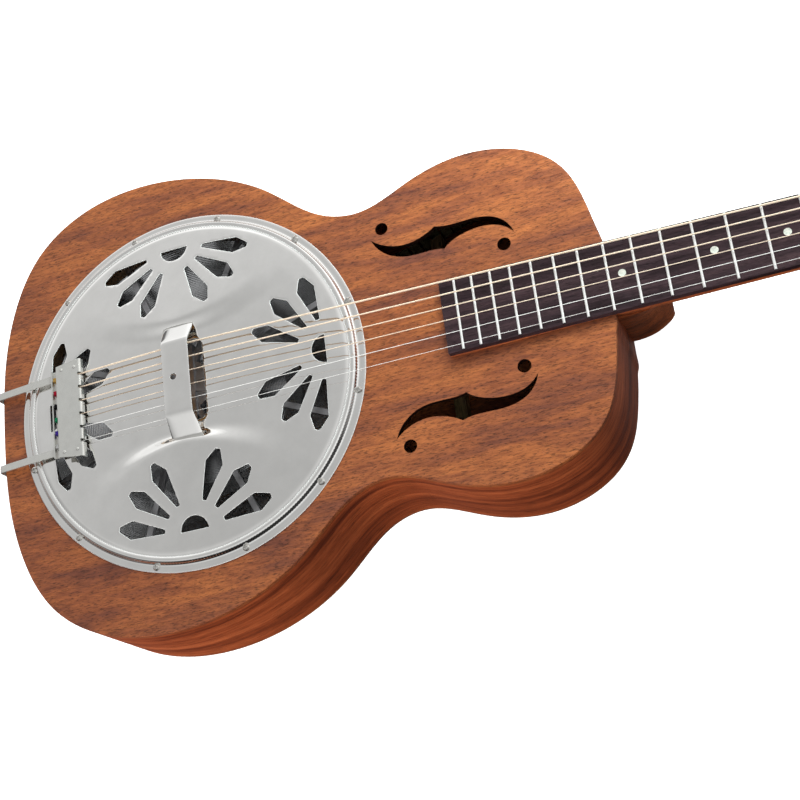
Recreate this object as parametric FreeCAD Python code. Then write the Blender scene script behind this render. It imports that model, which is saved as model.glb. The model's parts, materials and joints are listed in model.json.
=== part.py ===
"""Wooden-bodied resonator guitar with a spider bridge, lying on its back.

Millimetres. The origin is on the back, straight below the axis of the cone. +X runs
to the headstock, +Y to the bass side and +Z out of the top. Each sub-part is written
to parts/NODE.step.
"""
import FreeCAD, Part
import math
import os

V = FreeCAD.Vector

# Scale and neck
SCALE_LENGTH = 635.0
FRET_COUNT = 19
BODY_FRET = 12
STRING_COUNT = 6
NECK_SLOPE = -0.0223          # rise of the neck plane per millimetre of x
NECK_SPAN_AT_NUT = 44.45      # fingerboard widths
NECK_SPAN_AT_END = 56.0
BOARD_THICK = 5.05
BOARD_END_GAP = 11.0          # board past the last fret
FRET_HIGH = 1.0
FRET_END_GAP = 0.8
FRET_WIDE = 1.9
NUT_LONG = 5.0
SHAFT_DEPTH_AT_NUT = 15.5
SHAFT_DEPTH_AT_HEEL = 18.5

# Body
BODY_DEPTH = 88.0
TOP_THICK = 4.0
BACK_THICK = 3.5
SIDE_THICK = 2.6
EDGE_ROUND = 0.9
TAIL_X = -158.0
OUTLINE = [                   # x and half width, from the tail to the neck joint
    (TAIL_X, 0.0), (-150.0, 86.0), (-120.0, 146.5), (-75.0, 174.0), (-32.0, 180.5),
    (21.0, 172.8), (79.0, 142.5), (121.0, 109.3), (146.0, 104.0), (187.0, 117.5),
    (236.0, 126.6), (280.0, 113.5), (305.0, 84.0), (316.0, 36.0), (317.5, 0.0)]
OUTLINE_SAMPLES = 60

# Resonator and cover plate
PLATE_RADIUS = 140.0
PLATE_SCREW_RADIUS = 136.0
PLATE_SCREWS = 12
PLATE_GAUGE = 1.1
BEAD_OUTER = 134.0
BEAD_INNER = 128.5
BEAD_HIGH = 3.4
DOME_GRID = 64                # spline poles across the pressed dome
CONE_RADIUS = 132.0
TOP_HOLE_RADIUS = 132.7
WELL_OUTER = 141.0
LEDGE_Z = 74.0
FAN_CENTRE = 115.0
MOON_RADIUS = 11.0
PETAL_ANGLES = (25.0, 50.5, 75.5)
PETAL_SHAPE = [(24.0, 1.5), (51.5, 6.8), (61.8, 1.8)]

# Strings
STRING_Z_AT_SADDLE = BODY_DEPTH + 17.6
STRING_Z_AT_NUT = BODY_DEPTH - 0.5
STRING_GAUGES = [1.35, 1.07, 0.81, 0.61, 0.41, 0.30]     # bass to treble
WOUND_STRINGS = 4
SADDLE_SPREAD = 55.2
NUT_SPREAD = 38.0
BALL_SPREAD = 54.0

# Headstock and tuning machines
HEAD_ANGLE = 14.0
HEAD_LONG = 172.0
HEAD_THICK = 14.0
VENEER_THICK = 1.5
POST_FIRST = 42.0
POST_STEP = 44.0
POST_OFFSET = 22.0
GEAR_TEETH = 15
GEAR_PITCH_R = 5.0
WORM_PITCH_R = 2.2

body_fret_x = SCALE_LENGTH * 0.5 ** (BODY_FRET / 12.0)
last_fret_x = SCALE_LENGTH * 0.5 ** (FRET_COUNT / 12.0)
board_end_x = last_fret_x - BOARD_END_GAP
top_inner_z = BODY_DEPTH - TOP_THICK
head_top_x = SCALE_LENGTH + NUT_LONG


# ---------------------------------------------------------------- helpers

def save(name, shape):
    """Writes one node, a solid or a list of solids, to its STEP file."""
    if isinstance(shape, list):
        shape = Part.makeCompound(shape)
    shape.exportStep(os.path.join("parts", name + ".step"))
    print(name, len(shape.Solids), "solids", round(shape.Volume), "mm3", shape.isValid())


def box(x0, x1, y0, y1, z0, z1):
    return Part.makeBox(x1 - x0, y1 - y0, z1 - z0, V(x0, y0, z0))


def rod(radius, start, end):
    """A round bar between two points."""
    return Part.makeCylinder(radius, (end - start).Length, start, end - start)


def post(radius, z0, z1, x=0.0, y=0.0):
    return Part.makeCylinder(radius, z1 - z0, V(x, y, z0))


def polygon_prism(points, z0, z1):
    """A straight-sided prism on the polygon of (x, y) points."""
    corners = [V(x, y, z0) for x, y in points]
    face = Part.Face(Part.makePolygon(corners + [corners[0]]))
    return face.extrude(V(0, 0, z1 - z0))


def side_prism(points, y0, y1):
    """A prism whose (x, z) outline runs along Y."""
    corners = [V(x, y0, z) for x, z in points]
    face = Part.Face(Part.makePolygon(corners + [corners[0]]))
    return face.extrude(V(0, y1 - y0, 0))


def turned(points):
    """A body of revolution about the Z axis from its (r, z) outline."""
    corners = [V(r, 0, z) for r, z in points]
    face = Part.Face(Part.makePolygon(corners + [corners[0]]))
    return face.revolve(V(0, 0, 0), V(0, 0, 1), 360)


def about_z(shape, degrees):
    turned_copy = shape.copy()
    turned_copy.rotate(V(0, 0, 0), V(0, 0, 1), degrees)
    return turned_copy


def treble(shape):
    """The same shape on the treble side of the centre line."""
    return shape.mirror(V(0, 0, 0), V(0, 1, 0))


def fuse_all(shapes):
    return shapes[0].multiFuse(shapes[1:])


def lerp(a, b, t):
    return a + (b - a) * t


# ---------------------------------------------------------------- curves of the design

def neck_z(x):
    """Height of the plane between the neck and the fingerboard."""
    return BODY_DEPTH + NECK_SLOPE * (x - body_fret_x)


def board_half_width(x):
    t = (x - board_end_x) / (SCALE_LENGTH - board_end_x)
    return lerp(NECK_SPAN_AT_END, NECK_SPAN_AT_NUT, t) / 2


def fret_x(number):
    return SCALE_LENGTH * 0.5 ** (number / 12.0)


def string_z(x):
    return lerp(STRING_Z_AT_SADDLE, STRING_Z_AT_NUT, x / SCALE_LENGTH)


def string_y(index, spread):
    """Side position of a string, 0 for the bass string."""
    return spread * (0.5 - index / (STRING_COUNT - 1.0))


def outline_curve():
    curve = Part.BSplineCurve()
    points = [V(x, y, 0) for x, y in OUTLINE]
    curve.interpolate(Points=points, InitialTangent=V(0, 1, 0), FinalTangent=V(0, -1, 0))
    return curve


def half_outline(inset, z):
    """The bass half of the body outline, moved inwards by inset."""
    curve = outline_curve()
    points = []
    for i in range(OUTLINE_SAMPLES + 1):
        u = lerp(curve.FirstParameter, curve.LastParameter, i / OUTLINE_SAMPLES)
        place = curve.value(u)
        along = curve.tangent(u)[0]
        points.append(V(place.x + along.y * inset, place.y - along.x * inset, z))
    points[0].y = 0.0
    points[-1].y = 0.0
    offset = Part.BSplineCurve()
    offset.interpolate(Points=points, InitialTangent=V(0, 1, 0), FinalTangent=V(0, -1, 0))
    return offset.toShape()


def outline_prism(inset, z0, z1):
    bass = half_outline(inset, z0)
    wire = Part.Wire(Part.__sortEdges__([bass, treble(bass)]))
    return Part.Face(wire).extrude(V(0, 0, z1 - z0))


def half_ring(outer_inset, inner_inset, z0, z1):
    """The bass half of the band between two insets of the body outline."""
    outer = half_outline(outer_inset, z0)
    inner = half_outline(inner_inset, z0)
    ends = []
    for end in (0, -1):
        a = outer.Vertexes[end].Point
        b = inner.Vertexes[end].Point
        ends.append(Part.makeLine(a, b))
    wire = Part.Wire(Part.__sortEdges__([outer, ends[0], inner, ends[1]]))
    return Part.Face(wire).extrude(V(0, 0, z1 - z0))


def smooth(t):
    t = min(max(t, 0.0), 1.0)
    return t * t * (3 - 2 * t)


def dome_height(x, y):
    """Height of the pressed dome above the body top.

    Two lobes rise as a shallow cone to the hand rest, and a lower valley runs
    between them under the strings. The valley widens and fades out towards the rim.
    """
    r = math.hypot(x, y)
    lobe = min(7.6 + 0.156 * (112.0 - r), 18.6)
    valley = 12.6 - 5.0 * (r / 112.0) ** 2
    if r > 112.0:
        valley = lobe
    crease = 44.0 + 0.0039 * x * x
    wall = 9.0
    share = smooth((abs(y) - crease + wall / 2) / wall)
    return valley + (lobe - valley) * share


# ---------------------------------------------------------------- body

def f_hole_cut():
    """One f-hole: a slot with two nicks, and a round eye at each end."""
    tail_tip = (154.0, 78.0)
    inner_nick = (207.5, 55.8)
    head_tip = (258.6, 54.3)
    outer_nick = (202.3, 75.4)
    edges = [
        [tail_tip, (158.0, 70.3), (165.0, 63.3), (181.0, 57.5), (202.0, 57.0), inner_nick],
        [inner_nick, (212.0, 59.5), (220.0, 63.0), (236.0, 65.3), (249.0, 62.5), head_tip],
        [head_tip, (256.0, 61.0), (249.6, 68.0), (232.0, 73.5), (212.0, 73.5), outer_nick],
        [outer_nick, (194.0, 70.8), (183.0, 67.8), (172.5, 68.2), (162.5, 71.7), tail_tip]]
    low = top_inner_z - 1
    curves = []
    for points in edges:
        curve = Part.BSplineCurve()
        curve.interpolate([V(x, y, low) for x, y in points])
        curves.append(curve.toShape())
    slot = Part.Face(Part.Wire(curves)).extrude(V(0, 0, TOP_THICK + 2))
    eyes = [post(4.8, low, BODY_DEPTH + 1, 163.0, 85.0), post(4.9, low, BODY_DEPTH + 1, 250.2, 47.0)]
    return [slot] + eyes


def rounded_plate(z0, z1, round_z):
    """A flat body plate whose outer edge at round_z is eased."""
    plate = outline_prism(0.0, z0, z1)
    edge = [edge for edge in plate.Edges
            if abs(edge.BoundBox.ZMin - round_z) < 0.01 and abs(edge.BoundBox.ZMax - round_z) < 0.01]
    return plate.makeFillet(EDGE_ROUND, edge)


def make_top(screws):
    top = rounded_plate(top_inner_z, BODY_DEPTH, BODY_DEPTH)
    cuts = [post(TOP_HOLE_RADIUS, top_inner_z - 1, BODY_DEPTH + 1)]
    for cut in f_hole_cut():
        cuts.append(cut)
        cuts.append(treble(cut))
    return top.cut(cuts + screws)


def make_back():
    return rounded_plate(0.0, BACK_THICK, 0.0)


def tenon():
    return box(body_fret_x - 16, body_fret_x + 3, -9, 9, 12, top_inner_z)


def make_rims():
    rim = half_ring(0.0, SIDE_THICK, BACK_THICK, top_inner_z)
    rim = rim.cut([tenon(), make_strap_button()])
    return rim, treble(rim)


def make_neck_block():
    block = box(270, body_fret_x, -32, 32, BACK_THICK, top_inner_z)
    return block.common(outline_prism(SIDE_THICK, BACK_THICK, top_inner_z)).cut(tenon())


def make_tail_block():
    block = box(TAIL_X, -143, -32, 32, BACK_THICK, top_inner_z)
    return block.common(outline_prism(SIDE_THICK, BACK_THICK, top_inner_z))


def make_lining(z0, z1, blocks):
    lining = half_ring(SIDE_THICK, SIDE_THICK + 6, z0, z1)
    both = [lining.cut(blocks), treble(lining).cut(blocks)]
    return Part.makeCompound(both)


def make_braces(places, wide, z0, z1):
    """Straight bars across the body, each fitted between the linings."""
    inside = outline_prism(SIDE_THICK + 6.5, z0, z1)
    bars = []
    for x in places:
        bar = box(x - wide / 2, x + wide / 2, -200, 200, z0, z1)
        bars.append(bar.common(inside))
    return Part.makeCompound(bars)


def make_soundwell():
    """A hoop under the top with a ledge for the cone and a row of ports."""
    low = 44.0
    well = turned([
        (TOP_HOLE_RADIUS, top_inner_z), (WELL_OUTER, top_inner_z), (WELL_OUTER, low),
        (TOP_HOLE_RADIUS, low), (TOP_HOLE_RADIUS, LEDGE_Z - 6), (TOP_HOLE_RADIUS - 7, LEDGE_Z - 6),
        (TOP_HOLE_RADIUS - 7, LEDGE_Z), (TOP_HOLE_RADIUS, LEDGE_Z)])
    ports = []
    for i in range(10):
        port = Part.makeCylinder(8.0, 30, V(TOP_HOLE_RADIUS - 5, 0, low + 11), V(1, 0, 0))
        ports.append(about_z(port, 18 + 36 * i))
    return well.cut(ports)


# ---------------------------------------------------------------- resonator

def make_cone():
    """A spun dish with a raised middle that the tension screw pulls on."""
    upper = [(1.8, 71), (8, 71), (38, 52), (62, 47), (74, 48), (120, 72), (124.5, LEDGE_Z + 0.9),
             (CONE_RADIUS, LEDGE_Z + 0.9)]
    lower = [(r, z - 0.9) for r, z in reversed(upper)]
    return turned(upper + lower)


def make_spider(screw):
    """A cast bar with the saddle slot and eight legs that reach the cone's rim."""
    foot_z = LEDGE_Z + 0.9
    leg = side_prism([(4, 86.5), (4, 92), (30, 91), (120, 81), (129.5, foot_z + 4),
                      (129.5, foot_z), (125, foot_z), (119, foot_z + 3.5), (30, 87)], -2.2, 2.2)
    legs = [about_z(leg, 22.5 + 45 * i) for i in range(8)]
    hub = box(-7.5, 7.5, -32, 32, 86.5, 93)
    hoop = post(20, 86.5, 91)
    spider = fuse_all([hub, hoop] + legs)
    slot = box(-1.7, 1.7, -30.5, 30.5, 89, 94)
    return spider.cut([slot, screw]).removeSplitter()


def make_saddles():
    """Two thin maple halves with a gap between them for the tension screw."""
    half = box(-1.6, 1.6, 3.8, 30.2, 89, string_z(0) - 0.2)
    return [half, treble(half)]


def make_tension_screw():
    shank = post(1.6, 67, 93.2)
    head = post(3.0, 93.2, 95.2)
    driver_slot = box(-3.5, 3.5, -0.5, 0.5, 94.4, 96)
    lock_nut = post(4.0, 67, 70.05)
    return fuse_all([shank, head, lock_nut]).cut(driver_slot)


def dome_surface(drop):
    """The pressed dome as one spline surface, lowered by drop."""
    reach = BEAD_INNER + 2.5
    grid = []
    for i in range(DOME_GRID + 1):
        x = lerp(-reach, reach, i / DOME_GRID)
        row = []
        for j in range(DOME_GRID + 1):
            y = lerp(-reach, reach, j / DOME_GRID)
            row.append(V(x, y, BODY_DEPTH + dome_height(x, y) - drop))
        grid.append(row)
    surface = Part.BSplineSurface()
    surface.interpolate(grid)
    return surface.toShape()


def fan_cuts():
    """The half-moon and the six petals of the fan on +X, as upright prisms."""
    z0 = BODY_DEPTH - 1
    z1 = BODY_DEPTH + 25
    moon_x = 113.0
    moon = post(MOON_RADIUS, z0, z1, moon_x, 0.0)
    moon = moon.common(box(moon_x - 20, moon_x - 0.5, -20, 20, z0, z1))
    cuts = [moon]
    outline = PETAL_SHAPE + [(u, -v) for u, v in reversed(PETAL_SHAPE)]
    for angle in PETAL_ANGLES:
        for side in (-1, 1):
            petal = polygon_prism([(-u, v) for u, v in outline], z0, z1)
            petal.rotate(V(0, 0, 0), V(0, 0, 1), side * angle)
            petal.translate(V(FAN_CENTRE, 0, 0))
            cuts.append(petal)
    return cuts


def bridge_opening():
    """The opening under the hand rest, with rounded corners."""
    opening = box(-15, 19, -32, 32, BODY_DEPTH - 5, BODY_DEPTH + 40)
    corners = [edge for edge in opening.Edges if abs(edge.tangentAt(0).z) > 0.9]
    return opening.makeFillet(7.0, corners)


def make_coverplate(screws):
    dome = dome_surface(PLATE_GAUGE).extrude(V(0, 0, PLATE_GAUGE))
    dome = dome.common(post(BEAD_INNER + 0.5, BODY_DEPTH, BODY_DEPTH + 30))
    cuts = [bridge_opening()]
    for quarter in range(4):
        for cut in fan_cuts():
            cuts.append(about_z(cut, 90 * quarter))
    dome = dome.cut(cuts)
    z = BODY_DEPTH
    dome_rim = dome_height(BEAD_INNER, 0)
    ring = turned([
        (PLATE_RADIUS, z), (PLATE_RADIUS, z + 0.8), (PLATE_RADIUS - 0.4, z + PLATE_GAUGE),
        (BEAD_OUTER + 0.6, z + PLATE_GAUGE), (BEAD_OUTER - 0.6, z + BEAD_HIGH + 0.4),
        (BEAD_OUTER - 2, z + BEAD_HIGH + 1.1), (BEAD_OUTER - 3.4, z + BEAD_HIGH + 0.8),
        (BEAD_INNER + 0.5, z + dome_rim), (BEAD_INNER + 0.2, z + dome_rim - PLATE_GAUGE + 0.1),
        (BEAD_OUTER - 2, z + BEAD_HIGH), (BEAD_OUTER - 1.5, z + BEAD_HIGH - 0.5), (BEAD_OUTER - 0.4, z)])
    return fuse_all([dome, ring]).cut(screws)


def plate_screws():
    z = BODY_DEPTH + PLATE_GAUGE
    screw = turned([(0, z - 11), (0.5, z - 10.4), (1.3, z - 9), (1.3, z), (2.7, z), (2.5, z + 0.8),
                    (1.9, z + 1.5), (1.0, z + 1.9), (0, z + 2.0)])
    cross = [box(-1.6, 1.6, -0.3, 0.3, z + 1.0, z + 3), box(-0.3, 0.3, -1.6, 1.6, z + 1.0, z + 3)]
    screw = screw.cut(cross)
    screw.translate(V(PLATE_SCREW_RADIUS, 0, 0))
    step = 360.0 / PLATE_SCREWS
    return [about_z(screw, step / 2 + step * i) for i in range(PLATE_SCREWS)]


def make_hand_rest():
    """A flat bar that bends down at both ends onto the two lobes of the dome."""
    high = BODY_DEPTH + 24.8
    low = BODY_DEPTH + 12.0
    thick = 1.8
    upper = [(27.5, high), (31.5, high - 1.0), (38.0, high - 5.4), (43.0, high - 9.8), (44.0, low)]
    lower = [(42.2, low), (41.4, high - 11.0), (37.0, high - 7.2), (30.8, high - 2.9),
             (27.0, high - thick)]
    half = upper + lower
    other_half = [(-y, z) for y, z in reversed(half)]
    corners = [V(-8.5, y, z) for y, z in half + other_half]
    face = Part.Face(Part.makePolygon(corners + [corners[0]]))
    bar = face.extrude(V(21.5, 0, 0))
    filled_dome = dome_surface(30.0).extrude(V(0, 0, 30.0))
    access_hole = post(2.5, high - 5, high + 1, 0, 0)
    return bar.cut([filled_dome, access_hole])


# ---------------------------------------------------------------- tailpiece

ARM_Y = 29.8
ARM_WIDE = 5.5
ARM_THICK = 1.2
TAIL_PLATE_Z = BODY_DEPTH + 10.3
TAIL_COVER_Z = BODY_DEPTH + 16.3
BALL_X = -103.4
BALL_RADIUS = 1.9
BALL_LONG = 3.2


def make_tailpiece_frame():
    """Two strip arms from the ball-end tray that hook over and down the tail."""
    outer_x = TAIL_X - 0.2
    edge_z = BODY_DEPTH + 4.2
    arm = side_prism([
        (-98, TAIL_PLATE_Z), (-98, TAIL_PLATE_Z + ARM_THICK), (-110, TAIL_PLATE_Z + ARM_THICK),
        (outer_x - 0.5, edge_z + ARM_THICK), (outer_x - ARM_THICK, edge_z - 0.2),
        (outer_x - ARM_THICK, 40), (outer_x, 40), (outer_x, edge_z),
        (-110, TAIL_PLATE_Z)], ARM_Y - ARM_WIDE / 2, ARM_Y + ARM_WIDE / 2)
    tray = box(-107, -83, -35, 35, TAIL_PLATE_Z, TAIL_PLATE_Z + ARM_THICK)
    notch = box(-110, -104.9, -13, 9, TAIL_PLATE_Z - 1, TAIL_PLATE_Z + 3)
    lip = box(-107, -106, -35, 35, TAIL_PLATE_Z, TAIL_PLATE_Z + 3.2).cut(notch)
    foot = box(outer_x - ARM_THICK, outer_x, -ARM_Y - ARM_WIDE / 2, ARM_Y + ARM_WIDE / 2, 34, 54)
    frame = fuse_all([arm, treble(arm), tray.cut(notch), lip, foot])
    button_hole = Part.makeCylinder(3.1, 10, V(outer_x - 5, 0, 44), V(1, 0, 0))
    return frame.cut([button_hole] + tailpiece_rivets()).removeSplitter()


def tailpiece_cover_outline(grow):
    return [(-101 - grow, 36.6 + grow), (-80.5 + grow, 39.4 + grow),
            (-80.5 + grow, -39.4 - grow), (-101 - grow, -36.6 - grow)]


def make_tailpiece_cover():
    """The plate over the ball ends. Its front edge rolls down over the strings."""
    gauge = 1.2
    low = BODY_DEPTH + 11.4
    shell = polygon_prism(tailpiece_cover_outline(0), low, TAIL_COVER_Z)
    front = [edge for edge in shell.Edges if abs(edge.CenterOfMass.x + 80.5) < 0.01
             and abs(edge.CenterOfMass.z - TAIL_COVER_Z) < 0.01]
    shell = shell.makeFillet(2.2, front)
    hollow = polygon_prism(tailpiece_cover_outline(-gauge), low - 1, TAIL_COVER_Z - gauge)
    open_back = box(-110, -98, -60, 60, low - 1, TAIL_COVER_Z - gauge)
    open_ends = box(-110, -80.5 - gauge, -60, 60, low - 1, TAIL_COVER_Z - gauge)
    slots = []
    for i in range(STRING_COUNT):
        y = string_y(i, BALL_SPREAD)
        slots.append(box(-82.8, -79, y - 1.2, y + 1.2, low - 1, TAIL_COVER_Z + 1))
    return shell.cut([hollow, open_back, open_ends] + slots)


def tailpiece_rivets():
    """Four rivets through short spacers that hold the cover to the tray."""
    rivets = []
    for x in (-96.5, -85.5):
        for side in (-1, 1):
            y = side * 33.2
            shank = post(0.9, TAIL_PLATE_Z - 0.4, TAIL_COVER_Z + 0.3, x, y)
            spacer = post(1.6, TAIL_PLATE_Z + ARM_THICK, TAIL_COVER_Z - 1.2, x, y)
            head = Part.makeSphere(1.5, V(x, y, TAIL_COVER_Z - 0.6))
            head = head.common(box(x - 3, x + 3, y - 3, y + 3, TAIL_COVER_Z, TAIL_COVER_Z + 3))
            rivets.append(fuse_all([shank, spacer, head]))
    return rivets


def make_ball_ends():
    """A small ring at the end of each string, its hole across the string."""
    balls = []
    z = TAIL_PLATE_Z + ARM_THICK + BALL_RADIUS
    for i in range(STRING_COUNT):
        y = string_y(i, BALL_SPREAD)
        ring = Part.makeCylinder(BALL_RADIUS, BALL_LONG, V(BALL_X, y - BALL_LONG / 2, z), V(0, 1, 0))
        eye = Part.makeCylinder(0.8, BALL_LONG + 1, V(BALL_X, y - BALL_LONG, z), V(0, 1, 0))
        balls.append(ring.cut(eye))
    return balls


def make_strap_button():
    """A round button screwed into the tail block through the tailpiece foot."""
    x = TAIL_X - 0.2 - ARM_THICK
    profile = [(0, 0), (5.2, 0), (5.2, 1.0), (3.8, 3.0), (3.8, 7.0), (6.0, 9.2), (6.2, 10.6),
               (5.2, 11.8), (0, 12.2)]
    button = turned(profile)
    shank = post(3.0, -8, 0)
    button = fuse_all([button, shank])
    button.rotate(V(0, 0, 0), V(0, 1, 0), -90)
    button.translate(V(x, 0, 44))
    return button


# ---------------------------------------------------------------- neck

def neck_section(x, depth, z_top):
    """A D-shaped section, flat against the fingerboard."""
    half = board_half_width(x)
    points = []
    count = 10
    for i in range(count + 1):
        t = math.pi * i / count
        drop = depth * math.sin(t) ** 0.82
        points.append(V(x, half * math.cos(t), z_top - drop))
    points[0] = V(x, half, z_top)
    points[-1] = V(x, -half, z_top)
    curve = Part.BSplineCurve()
    curve.interpolate(points)
    closing = Part.makeLine(points[-1], points[0])
    return Part.Wire([curve.toShape(), closing])


HEEL_LEVELS = 8
HEEL_LOW = 6.0
HEEL_HIGH = 80.0


def heel_section(share):
    """A U-shaped level section from the body face out to a rounded nose.

    The share runs from 0 at the heel's cap to 1 where it meets the shaft. The sides
    widen steadily and the nose stays short until it sweeps out into the shaft.
    """
    z = lerp(HEEL_LOW, HEEL_HIGH, share)
    half = 14.0 + 12.2 * share ** 1.35
    nose = 33.0 + 4.0 * share + 29.0 * share ** 8
    back = body_fret_x - 4
    tip = body_fret_x + nose
    shoulder = body_fret_x + nose * 0.45
    cheek = tip - nose * 0.2
    curve = Part.BSplineCurve()
    curve.interpolate([V(back, -half, z), V(shoulder, -half * 0.9, z), V(cheek, -half * 0.52, z),
                       V(tip, 0, z), V(cheek, half * 0.52, z), V(shoulder, half * 0.9, z),
                       V(back, half, z)])
    closing = Part.makeLine(V(back, half, z), V(back, -half, z))
    return Part.Wire([curve.toShape(), closing])


def head_outline(grow):
    """Half widths of the paddle headstock along its own length, from the nut."""
    sides = [(-1.0, 22.2), (6.0, 22.4), (14.0, 25.5), (22.0, 31.5), (30.0, 34.0),
             (HEAD_LONG - 8, 37.0), (HEAD_LONG - 2, 33.0)]
    bass = [(s, w + grow) for s, w in sides]
    crown = [(HEAD_LONG + 2.5, 16.0), (HEAD_LONG + 2.5, -16.0)]
    other = [(s, -w) for s, w in reversed(bass)]
    return bass + crown + other


def to_head(shape):
    """Moves a shape from the headstock's own frame to its place on the neck.

    In its own frame the face is the plane z = 0, x runs away from the nut and the
    origin is at the nut's far edge.
    """
    placed = shape.copy()
    tilt = HEAD_ANGLE + math.degrees(math.atan(-NECK_SLOPE))
    placed.rotate(V(0, 0, 0), V(0, 1, 0), tilt)
    placed.translate(V(head_top_x, 0, neck_z(head_top_x)))
    return placed


def tuner_places():
    """Position of each post on the head and the string it takes, bass side first."""
    places = []
    for side in (1, -1):
        for step in range(3):
            index = step if side > 0 else STRING_COUNT - 1 - step
            places.append((POST_FIRST + POST_STEP * step, side * POST_OFFSET, side, index))
    return places


def truss_channel():
    x0 = body_fret_x + 8
    x1 = head_top_x + 2
    slope_depth = 10.5
    return side_prism([(x0, neck_z(x0)), (x1, neck_z(x1)), (x1, neck_z(x1) - slope_depth),
                       (x0, neck_z(x0) - slope_depth)], -3.2, 3.2)


def make_neck():
    sections = []
    for x, share in ((body_fret_x - 2, 1.0), (400.0, 0.85), (500.0, 0.45), (600.0, 0.1), (644.0, 0.0)):
        depth = lerp(SHAFT_DEPTH_AT_NUT, SHAFT_DEPTH_AT_HEEL, share)
        sections.append(neck_section(x, depth, neck_z(x)))
    shaft = Part.makeLoft(sections, True, False)
    levels = [i / HEEL_LEVELS for i in range(HEEL_LEVELS + 1)]
    heel = Part.makeLoft([heel_section(share) for share in levels], True, False)
    above_board = box(250, 900, -60, 60, neck_z(body_fret_x) - 0.5, 200)
    head = to_head(polygon_prism(head_outline(0), -VENEER_THICK - HEAD_THICK, -VENEER_THICK))
    heel = heel.cut([outline_prism(0.0, -1, BODY_DEPTH + 1), above_board])
    shaft = shaft.cut(outline_prism(0.0, -1, BODY_DEPTH + 1))
    neck = fuse_all([shaft, heel, head, tenon()])
    cuts = [truss_channel()]
    for s, y, side, index in tuner_places():
        cuts.append(to_head(post(4.4, -30, 5, s, y)))
    rod_pocket = to_head(box(-3, 16, -4.5, 4.5, -11, 1))
    above_face = to_head(box(0, 200, -60, 60, -VENEER_THICK, 40))
    return neck.cut(cuts + [rod_pocket, above_face] + head_screws())


def make_head_veneer():
    veneer = polygon_prism(head_outline(0), -VENEER_THICK, 0)
    veneer = veneer.cut(box(-3, 16, -4.5, 4.5, -11, 1))
    cuts = [to_head(post(4.4, -30, 5, s, y)) for s, y, side, index in tuner_places()]
    behind_nut = box(600, head_top_x, -60, 60, 0, 200)
    return to_head(veneer).cut(cuts + [behind_nut] + head_screws())


def make_neck_extension():
    """The wedge that fills the space between the body top and the fingerboard."""
    x0 = board_end_x
    x1 = body_fret_x - 6
    wedge = side_prism([(x0, BODY_DEPTH), (x1, BODY_DEPTH), (x1, neck_z(x1)), (x0, neck_z(x0))], -40, 40)
    taper = [(x0, board_half_width(x0)), (x1, board_half_width(x1)),
             (x1, -board_half_width(x1)), (x0, -board_half_width(x0))]
    return wedge.common(polygon_prism(taper, BODY_DEPTH - 1, BODY_DEPTH + 20))


def board_prism(z_shift_low, z_shift_high):
    """A slab that follows the neck plane inside the fingerboard's taper."""
    x0 = board_end_x
    x1 = SCALE_LENGTH
    slab = side_prism([(x0, neck_z(x0) + z_shift_low), (x1, neck_z(x1) + z_shift_low),
                       (x1, neck_z(x1) + z_shift_high), (x0, neck_z(x0) + z_shift_high)], -40, 40)
    taper = [(x0, board_half_width(x0)), (x1, board_half_width(x1)),
             (x1, -board_half_width(x1)), (x0, -board_half_width(x0))]
    return slab.common(polygon_prism(taper, 0, 200))


def make_frets():
    """Crowned wires, each on a thin tang that is pressed into a slot in the board."""
    frets = []
    tang_deep = 2.0
    tang_half = 0.3
    for number in range(1, FRET_COUNT + 1):
        x = fret_x(number)
        half = board_half_width(x) - FRET_END_GAP
        z = neck_z(x) + BOARD_THICK
        w = FRET_WIDE / 2
        crown = [(x - w, z), (x - w * 0.82, z + FRET_HIGH * 0.6), (x - w * 0.4, z + FRET_HIGH * 0.94),
                 (x, z + FRET_HIGH), (x + w * 0.4, z + FRET_HIGH * 0.94),
                 (x + w * 0.82, z + FRET_HIGH * 0.6), (x + w, z), (x + tang_half, z),
                 (x + tang_half, z - tang_deep), (x - tang_half, z - tang_deep), (x - tang_half, z)]
        frets.append(side_prism(crown, -half, half))
    return frets


MARKER_RADIUS = 2.7


def make_markers():
    """Pearl dots in the face of the board and small dots along its bass edge."""
    board = board_prism(0.0, BOARD_THICK)
    dots = []
    for number in (3, 5, 7, 9, 12):
        x = (fret_x(number) + fret_x(number - 1)) / 2
        z = neck_z(x) + BOARD_THICK
        dots.append(post(MARKER_RADIUS, z - 1.5, z + 1.0, x, 0.0).common(board))
        y = board_half_width(x)
        side_z = neck_z(x) + BOARD_THICK / 2
        dots.append(Part.makeCylinder(1.0, 3.0, V(x, y - 1.6, side_z), V(0, 1, 0)).common(board))
    return dots


def make_fingerboard(inlays):
    board = board_prism(0.0, BOARD_THICK)
    return board.cut(inlays)


def make_nut(strings):
    half = NECK_SPAN_AT_NUT / 2
    x0 = SCALE_LENGTH
    x1 = SCALE_LENGTH + NUT_LONG
    z0 = neck_z(x0)
    high = STRING_Z_AT_NUT + 0.5
    nut = side_prism([(x0, z0), (x1, neck_z(x1)), (x1, high - 2.2), (x1 - 1.5, high - 0.7), (x0, high)],
                     -half, half)
    return nut.cut(strings)


def make_truss_rod():
    x0 = body_fret_x + 12
    x1 = head_top_x
    z = neck_z(x0) - 7.2
    end_z = neck_z(x1) - 7.2
    bar = rod(2.5, V(x0, 0, z), V(x1, 0, end_z))
    lock_nut = rod(3.1, V(x1, 0, end_z), V(x1 + 6, 0, end_z - 0.2))
    return fuse_all([bar, lock_nut])


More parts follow.
